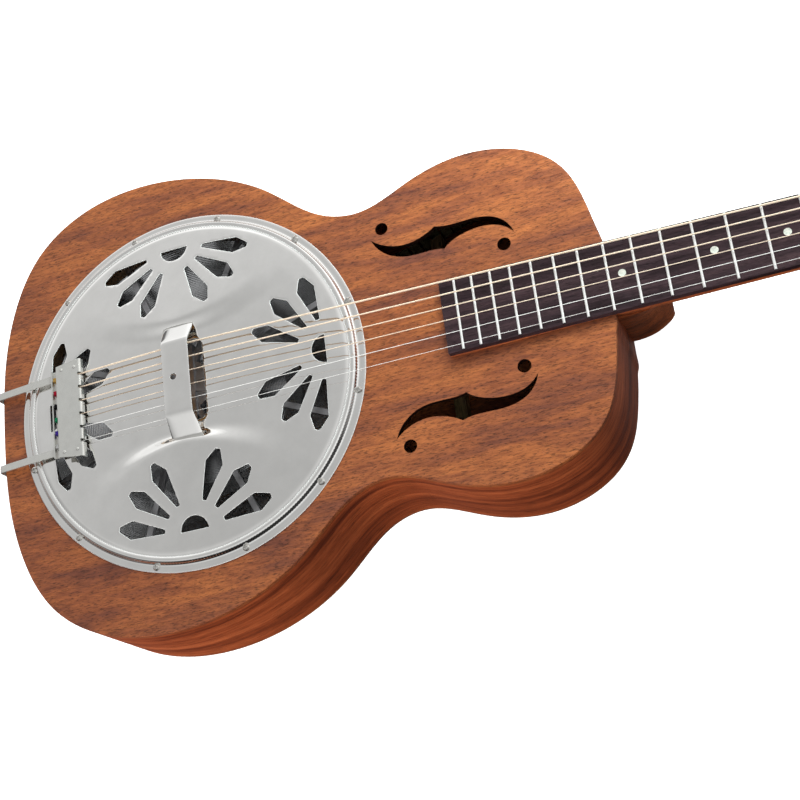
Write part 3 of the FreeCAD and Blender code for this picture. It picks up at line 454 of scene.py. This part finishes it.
def make_camera():
    data = bpy.data.cameras.new("camera")
    data.lens = CAMERA_LENS
    data.sensor_width = 36.0
    data.shift_x, data.shift_y = CAMERA_SHIFT
    data.clip_start = 0.05
    camera = bpy.data.objects.new("camera", data)
    bpy.context.scene.collection.objects.link(camera)
    up = CAMERA_RIGHT.cross(CAMERA_AHEAD)
    turn = Matrix((CAMERA_RIGHT, up, -CAMERA_AHEAD)).transposed()
    camera.matrix_world = Matrix.Translation(CAMERA_PLACE) @ turn.to_4x4()
    bpy.context.scene.camera = camera


FAR_SIDE = (0.0, 1.0, 0.0)            # low down, the room is bright beyond the bass side
HEAD_SIDE = (0.9, -0.2, 0.0)          # everywhere, it is a little brighter towards the headstock
TAIL_SIDE = (-1.0, 0.0, 0.0)          # the floor shows in the metal at the tail


def toward(tree, place, direction, gain, base):
    """How far a world direction leans towards another, times gain plus base."""
    side = add_node(tree, "VectorMath", operation="DOT_PRODUCT")
    side.inputs[1].default_value = direction
    tree.links.new(place, side.inputs[0])
    return math_node(tree, "ADD", math_node(tree, "MULTIPLY", side.outputs["Value"], gain), base)


def make_world():
    """A pale studio, bright beyond the bass side and dark low down on the player's side."""
    world = bpy.data.worlds.new("studio")
    bpy.context.scene.world = world
    world.use_nodes = True
    tree = world.node_tree
    background = tree.nodes["Background"]
    place = add_node(tree, "TexCoord").outputs["Generated"]
    split = add_node(tree, "SeparateXYZ")
    tree.links.new(place, split.inputs[0])
    height = split.outputs["Z"]
    level = ramp(tree, height, [
        (0.0, grey(0.26)), (0.05, grey(1.6)), (0.34, grey(1.75)), (0.52, grey(1.04)), (0.8, grey(0.77)),
        (1.0, grey(0.58))])
    low_turn = ramp(tree, toward(tree, place, FAR_SIDE, 0.5, 0.5), [
        (0.0, grey(0.02)), (0.30, grey(0.03)), (0.42, grey(0.16)), (0.55, grey(0.30)), (0.8, grey(0.90))])
    upper = ramp(tree, height, [(0.30, grey(0.0)), (0.62, grey(1.0))])
    turn = mix(tree, low_turn, grey(1.0), upper)
    lean = toward(tree, place, HEAD_SIDE, 0.42, 1.0)
    tone = mix(tree, mix(tree, level, turn, 1.0, "MULTIPLY"), lean, 1.0, "MULTIPLY")
    tail = ramp(tree, toward(tree, place, TAIL_SIDE, 1.0, 0.0), [(0.55, grey(0.0)), (0.8, grey(1.0))])
    below = ramp(tree, height, [(0.0, grey(1.0)), (0.06, grey(0.0))])
    tone = mix(tree, tone, mix(tree, tone, grey(0.6), tail), below)
    tree.links.new(tone, background.inputs["Color"])
    background.inputs["Strength"].default_value = 1.0


def add_light(name, place, target, size, power, colour=(1.0, 1.0, 1.0)):
    data = bpy.data.lights.new(name, "AREA")
    data.shape = "RECTANGLE"
    data.size = size[0]
    data.size_y = size[1]
    data.energy = power
    data.color = colour
    light = bpy.data.objects.new(name, data)
    bpy.context.scene.collection.objects.link(light)
    light.visible_glossy = False
    light.location = place
    light.rotation_euler = (Vector(target) - Vector(place)).to_track_quat("-Z", "Y").to_euler()


def make_lights():
    add_light("key", (0.42, 0.42, 0.46), (0.25, 0.08, 0.08), (0.4, 0.3), 7.6, (0.84, 1.0, 0.98))
    add_light("fill", (-0.7, -1.4, 0.34), (0.05, -0.1, 0.04), (0.9, 0.4), 27.0)


STAGE_SIZE = 6.0                      # half the width of the floor, and the height of its walls


def stage_sheet(name, verts, faces):
    """A plain pale sheet round the guitar, seen by the camera and left out of reflections."""
    sheet = bpy.data.objects.new(name, mesh_from(name, verts, faces, smooth=False))
    bpy.context.scene.collection.objects.link(sheet)
    sheet.data.materials.append(mats["pale_paper"])
    sheet.visible_diffuse = False
    sheet.visible_glossy = False
    return sheet


def make_floor():
    """A wide floor just under the guitar, and walls far behind that only the camera sees."""
    low = -0.0005
    corners = [(-STAGE_SIZE, -STAGE_SIZE), (STAGE_SIZE, -STAGE_SIZE), (STAGE_SIZE, STAGE_SIZE),
               (-STAGE_SIZE, STAGE_SIZE)]
    floor = [(x, y, low) for x, y in corners]
    stage_sheet("floor", floor, [(0, 1, 2, 3)])
    upper = [(x, y, STAGE_SIZE) for x, y in corners]
    sides = [(k, (k + 1) % 4, (k + 1) % 4 + 4, k + 4) for k in range(4)]
    walls = stage_sheet("walls", floor + upper, sides)
    walls.visible_shadow = False


# ---------------------------------------------------------------- cover plate

PLATE_RADIUS = (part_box("coverplate")[1].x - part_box("coverplate")[0].x) / 2 / MM
PLATE_GAUGE = 1.1
ROLLED_EDGE = 0.45
LOBE_EDGE = 112.0             # radius beyond which the valley has the lobes' own slope
LOBE_LOW = 7.6                # height above the body top at that radius
LOBE_HIGH = 18.6
LOBE_RISE = 0.156             # for each millimetre towards the middle
VALLEY_HIGH = 12.6            # under the strings, at the middle
VALLEY_FALL = 5.0             # from the middle out to the lobes' edge
CREASE_PLACE = 44.0           # where a lobe's wall stands, either side of the strings
GROOVE_RADIUS = 128.6
BEAD_INNER = 129.6
BEAD_RADIUS = 131.0
BEAD_HIGH = 5.3
FLANGE_RADIUS = 135.0
MOON_RADIUS = 11.0
MOON_CENTRE = 113.0
FAN_CENTRE = 115.0
PETAL_ANGLES = (25.0, 50.5, 75.5)
PETAL_SHAPE = [(24.0, 1.5), (51.5, 6.8), (61.8, 1.8)]
BRIDGE_OPENING = ((-13.4, 19.0), (-32.0, 32.0))


def plate_height(x, y):
    """Height of the pressed plate above the body top in millimetres, for arrays x and y."""
    r = np.hypot(x, y)
    lobe = np.minimum(LOBE_LOW + LOBE_RISE * (LOBE_EDGE - r), LOBE_HIGH)
    valley = np.where(r > LOBE_EDGE, lobe, VALLEY_HIGH - VALLEY_FALL * (r / LOBE_EDGE) ** 2)
    crease = CREASE_PLACE + 0.0039 * x * x
    width = 9.0 + 0.2 * np.abs(x)
    share = smooth_step((np.abs(y) - crease + width / 2) / width)
    dome = valley + (lobe - valley) * share
    groove = -0.9 * np.exp(-((r - GROOVE_RADIUS) / 1.1) ** 2)
    bead = BEAD_HIGH - 0.09 * (r - BEAD_RADIUS) ** 2
    inner = dome + groove
    step = PLATE_GAUGE + (5.1 - PLATE_GAUGE) * smooth_step((FLANGE_RADIUS - r) / 3.2)
    edge = PLATE_GAUGE - 0.5 * smooth_step((r - PLATE_RADIUS + 0.8) / 0.8)
    height = np.where(r < BEAD_INNER, inner, np.minimum(bead, step))
    return np.where(r > FLANGE_RADIUS, edge, height)


def rounded_loop(points, radius, steps=3):
    """A closed outline whose corners are rounded to about radius."""
    loop = []
    count = len(points)
    for i in range(count):
        corner = Vector(points[i])
        before = (Vector(points[i - 1]) - corner)
        after = (Vector(points[(i + 1) % count]) - corner)
        reach = min(radius, before.length * 0.45, after.length * 0.45)
        start = corner + before.normalized() * reach
        end = corner + after.normalized() * reach
        for k in range(steps + 1):
            t = k / steps
            loop.append(start * (1 - t) ** 2 + corner * 2 * t * (1 - t) + end * t * t)
    return loop


def spaced_loop(loop, spacing):
    """The same closed outline with points at most spacing apart."""
    dense = []
    count = len(loop)
    for i in range(count):
        a = loop[i]
        b = loop[(i + 1) % count]
        parts = max(1, math.ceil((b - a).length / spacing))
        for k in range(parts):
            dense.append(a.lerp(b, k / parts))
    return dense


def turned_loop(loop, degrees):
    turn = Matrix.Rotation(math.radians(degrees), 2)
    return [turn @ point for point in loop]


def plate_holes():
    """Outlines of the half-moons, the petals and the opening under the hand rest."""
    holes = []
    moon = [Vector((MOON_CENTRE - 0.5, MOON_RADIUS)), Vector((MOON_CENTRE - 0.5, -MOON_RADIUS))]
    for k in range(1, 20):
        turn = -math.pi / 2 - math.pi * k / 20
        moon.append(Vector((MOON_CENTRE + MOON_RADIUS * math.cos(turn), MOON_RADIUS * math.sin(turn))))
    moon = spaced_loop(moon, 2.2)
    outline = PETAL_SHAPE + [(u, -v) for u, v in reversed(PETAL_SHAPE)]
    petal = spaced_loop(rounded_loop([(-u, v) for u, v in outline], 0.8, 2), 2.2)
    for quarter in range(4):
        holes.append(turned_loop(moon, 90 * quarter))
        for angle in PETAL_ANGLES:
            for side in (-1, 1):
                placed = [p + Vector((FAN_CENTRE, 0)) for p in turned_loop(petal, side * angle)]
                holes.append(turned_loop(placed, 90 * quarter))
    (x0, x1), (y0, y1) = BRIDGE_OPENING
    opening = rounded_loop([(x0, y0), (x1, y0), (x1, y1), (x0, y1)], 7.0, 5)
    holes.append(spaced_loop(opening, 2.2))
    return holes


def inside(points, loop):
    """For each point, whether it lies inside the closed loop."""
    hit = np.zeros(len(points), bool)
    x = points[:, 0]
    y = points[:, 1]
    for a, b in zip(loop, loop[1:] + loop[:1]):
        crosses = (a.y > y) != (b.y > y)
        if a.y != b.y:
            hit ^= crosses & (x < (b.x - a.x) * (y - a.y) / (b.y - a.y) + a.x)
    return hit


def near(points, loop, gap):
    """For each point, whether it lies within gap of the closed loop's outline."""
    close = np.zeros(len(points), bool)
    for a, b in zip(loop, loop[1:] + loop[:1]):
        start = np.array(a)
        run = np.array(b) - start
        t = np.clip(((points - start) @ run) / max(run @ run, 1e-9), 0, 1)
        gap_here = np.linalg.norm(points - start - t[:, None] * run, axis=1)
        close |= gap_here < gap
    return close


def plate_points(holes):
    """Points in rings over the plate, closer together on the bead, clear of the holes."""
    radii = list(np.arange(2.5, 126.0, 2.5)) + [127.2, 128.0, 128.6, 129.2, 129.8, 130.6, 131.4, 132.2]
    radii += [132.9, 133.4, 133.9, 134.4, 134.9, 136.0, 137.6, 138.8, PLATE_RADIUS - 0.6, PLATE_RADIUS - 0.3]
    points = []
    for row, r in enumerate(radii):
        count = max(8, int(2 * math.pi * r / 2.5))
        if r > 126.0:
            count = 360
        for k in range(count):
            turn = 2 * math.pi * (k + 0.5 * (row % 2)) / count
            points.append((r * math.cos(turn), r * math.sin(turn)))
    points = np.array(points)
    keep = np.ones(len(points), bool)
    for hole in holes:
        low = np.min([tuple(p) for p in hole], axis=0) - 2
        high = np.max([tuple(p) for p in hole], axis=0) + 2
        box = np.where(np.all((points > low) & (points < high), axis=1))[0]
        if len(box):
            blocked = inside(points[box], hole) | near(points[box], hole, 1.1)
            keep[box[blocked]] = False
    return points[keep]


def pressed_sheet(name, outline, holes, inner, height):
    """A sheet with holes: outlines and inner points joined by triangles, raised to height(x, y)."""
    verts = []
    edges = []
    for loop in [outline] + holes:
        base = len(verts)
        verts.extend(loop)
        edges.extend((base + i, base + (i + 1) % len(loop)) for i in range(len(loop)))
    verts.extend(Vector(p) for p in inner)
    flat, _, faces, _, _, _ = delaunay_2d_cdt(verts, edges, [], 0, 1e-5)
    centres = np.array([sum((flat[i] for i in face), Vector((0, 0))) / len(face) for face in faces])
    gone = ~inside(centres, outline)
    for hole in holes:
        gone |= inside(centres, hole)
    faces = [face for face, out in zip(faces, gone) if not out]
    xy = np.array([tuple(p) for p in flat])
    levels = height(xy[:, 0], xy[:, 1])
    points = [(x * MM, y * MM, TOP_Z + z * MM) for (x, y), z in zip(xy, levels)]
    mesh = mesh_from(name, points, faces)
    clean(mesh)
    if sum(polygon.normal.z for polygon in mesh.polygons) < 0:
        mesh.flip_normals()
    return mesh


def circle_loop(centre, radius, count):
    loop = []
    for k in range(count):
        turn = 2 * math.pi * k / count
        loop.append(Vector((centre[0] + radius * math.cos(turn), centre[1] + radius * math.sin(turn))))
    return loop


def give_gauge(piece, gauge, edge):
    """Makes a pressed sheet as thick as its gauge. The rolled edges are a little duller, and whiter and less
    metallic as a painted highlight along them.
    """
    shell = piece.modifiers.new("gauge", "SOLIDIFY")
    shell.thickness = gauge * MM
    shell.offset = -1.0
    piece.data.materials.append(mats["rolled_edge"])
    bevel(piece, edge * MM, 2, 50.0)
    piece.modifiers["soft_edges"].material = 1


def build_coverplate():
    """The pressed plate: fans of holes, bead, flange, and a rolled edge at every hole."""
    holes = plate_holes()
    rim = circle_loop((0.0, 0.0), PLATE_RADIUS, 360)
    mesh = pressed_sheet("coverplate_pressed", rim, holes, plate_points(holes), plate_height)
    plate = add_object("coverplate_pressed", mesh, "guitar", mats["nickel_plate"])
    give_gauge(plate, PLATE_GAUGE, ROLLED_EDGE)
    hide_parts("coverplate")


# ---------------------------------------------------------------- hand rest

REST_HIGH = 24.8
REST_SIDES = (-8.4, 12.9)
REST_FLAT = 28.5
REST_END = 43.9
REST_SLOPES = (0.72, 0.56)           # treble end, bass end
REST_GAUGE = 1.7
REST_HOLE = 2.5               # radius of the hole in the middle
REST_ROWS = (-9.0, -8.2, -7.0, -5.0, -2.5, 0.0, 2.5, 5.0, 7.5, 9.5, 10.7, 11.5)     # inner points


def rest_flare(y):
    """How far each long side of the hand rest swells outwards near its ends."""
    return 1.2 * smooth_step((np.abs(y) - 28.0) / 14.0)


def rest_height(x, y):
    past = np.abs(y) - REST_FLAT
    slope = np.where(y < 0, REST_SLOPES[0], REST_SLOPES[1])
    drop = slope * (np.sqrt(past * past + 1.2) + past) / 2
    middle = (REST_SIDES[0] + REST_SIDES[1]) / 2
    off = np.abs(x - middle) / ((REST_SIDES[1] - REST_SIDES[0]) / 2)
    return REST_HIGH - drop - 0.5 * off ** 6


def build_hand_rest():
    """A flat bar over the saddles. Its ends bend down to the plate and swell a little."""
    levels = np.linspace(-REST_END, REST_END, 67)
    swell = rest_flare(levels)
    outline = [Vector((REST_SIDES[1] + w, y)) for y, w in zip(levels, swell)]
    outline += [Vector((REST_SIDES[0] - w, y)) for y, w in zip(levels[::-1], swell[::-1])]
    outline = spaced_loop(outline, 2.0)
    hole = circle_loop((0.0, 0.0), REST_HOLE, 32)
    inner = [(x, y) for y in levels[1:-1] for x in REST_ROWS if math.hypot(x, y) > REST_HOLE + 0.9]
    inner += [tuple(p) for p in circle_loop((0.0, 0.0), REST_HOLE + 0.6, 32)]
    mesh = pressed_sheet("hand_rest_bar", outline, [hole], inner, rest_height)
    rest = add_object("hand_rest_bar", mesh, "guitar", mats["nickel_plate"])
    give_gauge(rest, REST_GAUGE, ROLLED_EDGE)
    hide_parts("hand_rest")


# ---------------------------------------------------------------- strings

STRING_GAUGES = (1.35, 1.07, 0.81, 0.61, 0.41, 0.30)      # millimetres, bass to treble
STRING_NAMES = ("string_6_e", "string_5_a", "string_4_d", "string_3_g", "string_2_b", "string_1_e")
WOUND_STRINGS = 4
SADDLE_SPREAD = 55.2 * MM
NUT_SPREAD = 38.0 * MM
BALL_SPREAD = 54.0 * MM
STRING_TUNER = (1, 2, 3, 6, 5, 4)                          # the tuner of each string
SADDLE_STRING_Z = TOP_Z + 17.6 * MM
NUT_STRING_Z = TOP_Z - 0.5 * MM
POST_WAIST = 2.3 * MM
TWIST_LONG = 15 * MM                                       # the wire wound back beside a ball
WRAP_LOW = 8.9 * MM


def string_y(index, spread):
    return spread * (0.5 - index / 5.0)


def tuner_frame(number):
    """Place of a post's axis at the headstock face, with the head's own axes."""
    joint = next(j for j in frame["joints"] if j["name"] == "post_turn_%d" % number)
    up = Vector(joint["axis"]).normalized()
    side = Vector((0, 1, 0))
    return Vector(joint["pos_m"]), side.cross(up), side, up


def string_points(index):
    """The path of one string from its ball over saddle and nut to its post."""
    gauge = STRING_GAUGES[index] * MM
    low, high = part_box("ball_ends")
    number = STRING_TUNER[index]
    place, _, side, up = tuner_frame(number)
    inner = -1.0 if place.y > 0 else 1.0
    reach = POST_WAIST + gauge / 2
    nut_low, nut_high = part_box("nut")
    return [
        Vector((high.x - 0.4 * MM, string_y(index, BALL_SPREAD), (low.z + high.z) / 2)),
        Vector((0.0, string_y(index, SADDLE_SPREAD), SADDLE_STRING_Z)),
        Vector((nut_low.x, string_y(index, NUT_SPREAD), NUT_STRING_Z)),
        Vector((nut_high.x, string_y(index, NUT_SPREAD), NUT_STRING_Z - 1.0 * MM)),
        place + side * inner * reach + up * WRAP_LOW]


def fine_path(points, step):
    """Points along the straight runs between the given points, about step apart."""
    path = [points[0]]
    for a, b in zip(points, points[1:]):
        parts = max(1, int((b - a).length / step))
        for k in range(1, parts + 1):
            path.append(a.lerp(b, k / parts))
    return path


def build_string(index):
    gauge = STRING_GAUGES[index] * MM
    wound = index < WOUND_STRINGS
    slot = "string_bronze" if wound else "string_steel"
    points = string_points(index)
    path = fine_path(points, 30 * MM)
    main = tube(path, [gauge / 2] * len(path), 12)
    twist = twisted_end(points, gauge)
    verts, faces = joined([main, twist])
    mesh = mesh_from(STRING_NAMES[index], verts, faces)
    clean(mesh)
    return add_object(STRING_NAMES[index], mesh, "guitar", mats[slot])


def twisted_end(points, gauge):
    """The string's own wire wound back over itself beside the ball."""
    start, saddle = points[0], points[1]
    along = (saddle - start).normalized()
    first = along.orthogonal().normalized()
    second = along.cross(first)
    core = min(gauge, 0.5 * MM)
    pitch = core * 1.15
    turns = int(TWIST_LONG / pitch)
    path = []
    for k in range(turns * 10 + 1):
        turn = 2 * math.pi * k / 10
        reach = gauge / 2 + core * 0.42
        path.append(start + along * (1.0 * MM + pitch * k / 10)
                    + (first * math.cos(turn) + second * math.sin(turn)) * reach)
    return tube(path, [core / 2] * len(path), 6)


def build_wrap(index):
    """The turns of a string around its post, and its cut end through the post's hole."""
    gauge = STRING_GAUGES[index] * MM
    number = STRING_TUNER[index]
    wound = index < WOUND_STRINGS
    slot = "string_bronze" if wound else "string_steel"
    place, along, side, up = tuner_frame(number)
    hand = 1.0 if place.y > 0 else -1.0
    turns = 2 if gauge > 1.0 * MM else 3
    reach = POST_WAIST + gauge / 2
    steps = 24
    path = []
    start = -hand * math.pi / 2
    for k in range(turns * steps + 1):
        turn = start + hand * 2 * math.pi * k / steps
        lift = WRAP_LOW + gauge * 1.06 * k / steps
        path.append(place + (along * math.cos(turn) + side * math.sin(turn)) * reach + up * lift)
    last = path[-1] - place
    outward = (last - up * last.dot(up)).normalized()
    hole_level = 10.5 * MM + turns * gauge * 0.4
    path.append(place + outward * 1.2 * MM + up * hole_level)
    path.append(place - outward * 6.0 * MM + up * hole_level)
    verts, faces = tube(path, [gauge / 2] * len(path), 10)
    mesh = mesh_from("wrap_%d" % number, verts, faces)
    clean(mesh)
    add_object("wrap_%d" % number, mesh, "post_%d" % number, mats[slot])


def build_strings():
    strings = [build_string(index) for index in range(6)]
    for index in range(6):
        build_wrap(index)
    for string in strings[:WOUND_STRINGS]:
        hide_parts("strings_wound")
    for string in strings[WOUND_STRINGS:]:
        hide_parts("strings_plain")


BALL_COLOURS = (srgb(196, 158, 84), srgb(170, 30, 52), srgb(24, 24, 26),
                srgb(30, 132, 88), srgb(72, 52, 150), srgb(196, 196, 194))


def build_ball_ends():
    """Grooved coloured rings, one for each string."""
    low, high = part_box("ball_ends")
    profile = [(0.8, -1.5), (1.0, -1.6), (1.6, -1.6), (1.9, -1.3), (1.85, -0.8), (1.6, 0.0),
               (1.85, 0.8), (1.9, 1.3), (1.6, 1.6), (1.0, 1.6), (0.8, 1.5)]
    for index, colour in enumerate(BALL_COLOURS):
        verts, faces = turned_ring([(r * MM, h * MM) for r, h in profile], 28)
        place = Vector(((low.x + high.x) / 2, string_y(index, BALL_SPREAD), (low.z + high.z) / 2))
        verts = [Vector((v.x, v.z, v.y)) + place for v in verts]
        name = "ball_end_%d" % (6 - index)
        mesh = mesh_from(name, verts, faces)
        clean(mesh)
        paint = metal(name + "_plating", colour, 0.28, wear=0.06, scale=900.0)
        ball = add_object(name, mesh, "guitar", paint)
        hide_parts("ball_ends")


# ---------------------------------------------------------------- kerfed linings

OUTLINE = [                   # body outline in millimetres, x and half width
    (-158.0, 0.0), (-150.0, 86.0), (-120.0, 146.5), (-75.0, 174.0), (-32.0, 180.5),
    (21.0, 172.8), (79.0, 142.5), (121.0, 109.3), (146.0, 104.0), (187.0, 117.5),
    (236.0, 126.6), (280.0, 113.5), (305.0, 84.0), (316.0, 36.0), (317.5, 0.0)]
LINING_INSET = 2.7            # from the outline to the backs of the wedge blocks
KERF_PITCH = 9.0
KERF_BLOCK = 7.6 * MM
LINING_END = 34.0             # no wedge block is centred nearer to the centre line


def outline_path(inset, spacing):
    """Evenly spaced points and directions on the bass half of the outline, moved inwards."""
    points = np.array(OUTLINE)
    knots = np.concatenate([[0], np.cumsum(np.linalg.norm(np.diff(points, axis=0), axis=1))])
    slopes = spline_slopes(knots, points)
    dense = []
    for i in range(len(knots) - 1):
        span = knots[i + 1] - knots[i]
        for t in np.linspace(0, 1, 24, endpoint=False):
            a = 2 * t ** 3 - 3 * t ** 2 + 1
            b = t ** 3 - 2 * t ** 2 + t
            c = t ** 3 - t ** 2
            dense.append(a * points[i] + b * span * slopes[i] + (1 - a) * points[i + 1]
                         + c * span * slopes[i + 1])
    dense.append(points[-1])
    dense = np.array(dense)
    along = np.gradient(dense, axis=0)
    along /= np.linalg.norm(along, axis=1)[:, None]
    moved = dense + np.stack([along[:, 1], -along[:, 0]], axis=1) * inset
    length = np.concatenate([[0], np.cumsum(np.linalg.norm(np.diff(moved, axis=0), axis=1))])
    places = np.arange(0, length[-1], spacing)
    path = np.stack([np.interp(places, length, moved[:, k]) for k in (0, 1)], axis=1)
    ahead = np.stack([np.interp(places, length, along[:, k]) for k in (0, 1)], axis=1)
    return path, ahead


def spline_slopes(knots, points):
    """Slopes of the smooth cubic spline through the points, square to the centre line at both ends."""
    count = len(points)
    matrix = np.zeros((count, count))
    right = np.zeros((count, 2))
    matrix[0, 0] = 1.0
    matrix[-1, -1] = 1.0
    right[0] = (0.0, 1.0)
    right[-1] = (0.0, -1.0)
    for i in range(1, count - 1):
        before = knots[i] - knots[i - 1]
        after = knots[i + 1] - knots[i]
        matrix[i, i - 1] = after
        matrix[i, i] = 2 * (before + after)
        matrix[i, i + 1] = before
        right[i] = 3 * (after * (points[i] - points[i - 1]) / before
                        + before * (points[i + 1] - points[i]) / after)
    return np.linalg.solve(matrix, right)


def build_lining(name, node, sign):
    """Wedge blocks in a row along each side of the body. sign is 1 if they hang from the top."""
    low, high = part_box(node)
    path, ahead = outline_path(LINING_INSET, KERF_PITCH)
    glued = high.z - 0.02 * MM if sign > 0 else low.z + 0.02 * MM
    parts = []
    for flip in (1, -1):
        for (x, y), (ax, ay) in zip(path, ahead):
            if y < LINING_END:
                continue
            place = Vector((x * MM, y * MM * flip, glued))
            forward = Vector((ax, ay * flip, 0)).normalized()
            inward = Vector((ay, -ax * flip, 0)).normalized()
            parts.append(wedge(place, forward * KERF_BLOCK / 2, inward, sign))
    verts, faces = joined(parts)
    mesh = mesh_from(name, verts, faces, smooth=False)
    clean(mesh)
    lining = add_object(name, mesh, "guitar", mats["lining_wood"])
    bevel(lining, 0.3 * MM, 1, 40.0)
    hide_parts(node)


def wedge(place, half, inward, sign):
    """One block of a kerfed lining."""
    deep = 5.6 * MM
    thin = 1.4 * MM
    high = 12.4 * MM
    profile = [(0, 0), (deep, 0), (deep, 3.2 * MM), (thin, high), (0, high)]
    verts = []
    for end in (-1, 1):
        for out, down in profile:
            verts.append(place + half * end + inward * out - Vector((0, 0, down * sign)))
    count = len(profile)
    faces = [tuple(range(count)), tuple(reversed(range(count, 2 * count)))]
    for i in range(count):
        j = (i + 1) % count
        faces.append((i, i + count, j + count, j))
    return verts, faces


# ---------------------------------------------------------------- build

paint_cad_nodes()
make_camera()
make_world()
bpy.context.scene.view_settings.view_transform = "Standard"
make_lights()
make_floor()
build_coverplate()
build_hand_rest()
build_strings()
build_ball_ends()
build_lining("kerfed_lining_top", "lining_top", 1)
build_lining("kerfed_lining_back", "lining_back", -1)
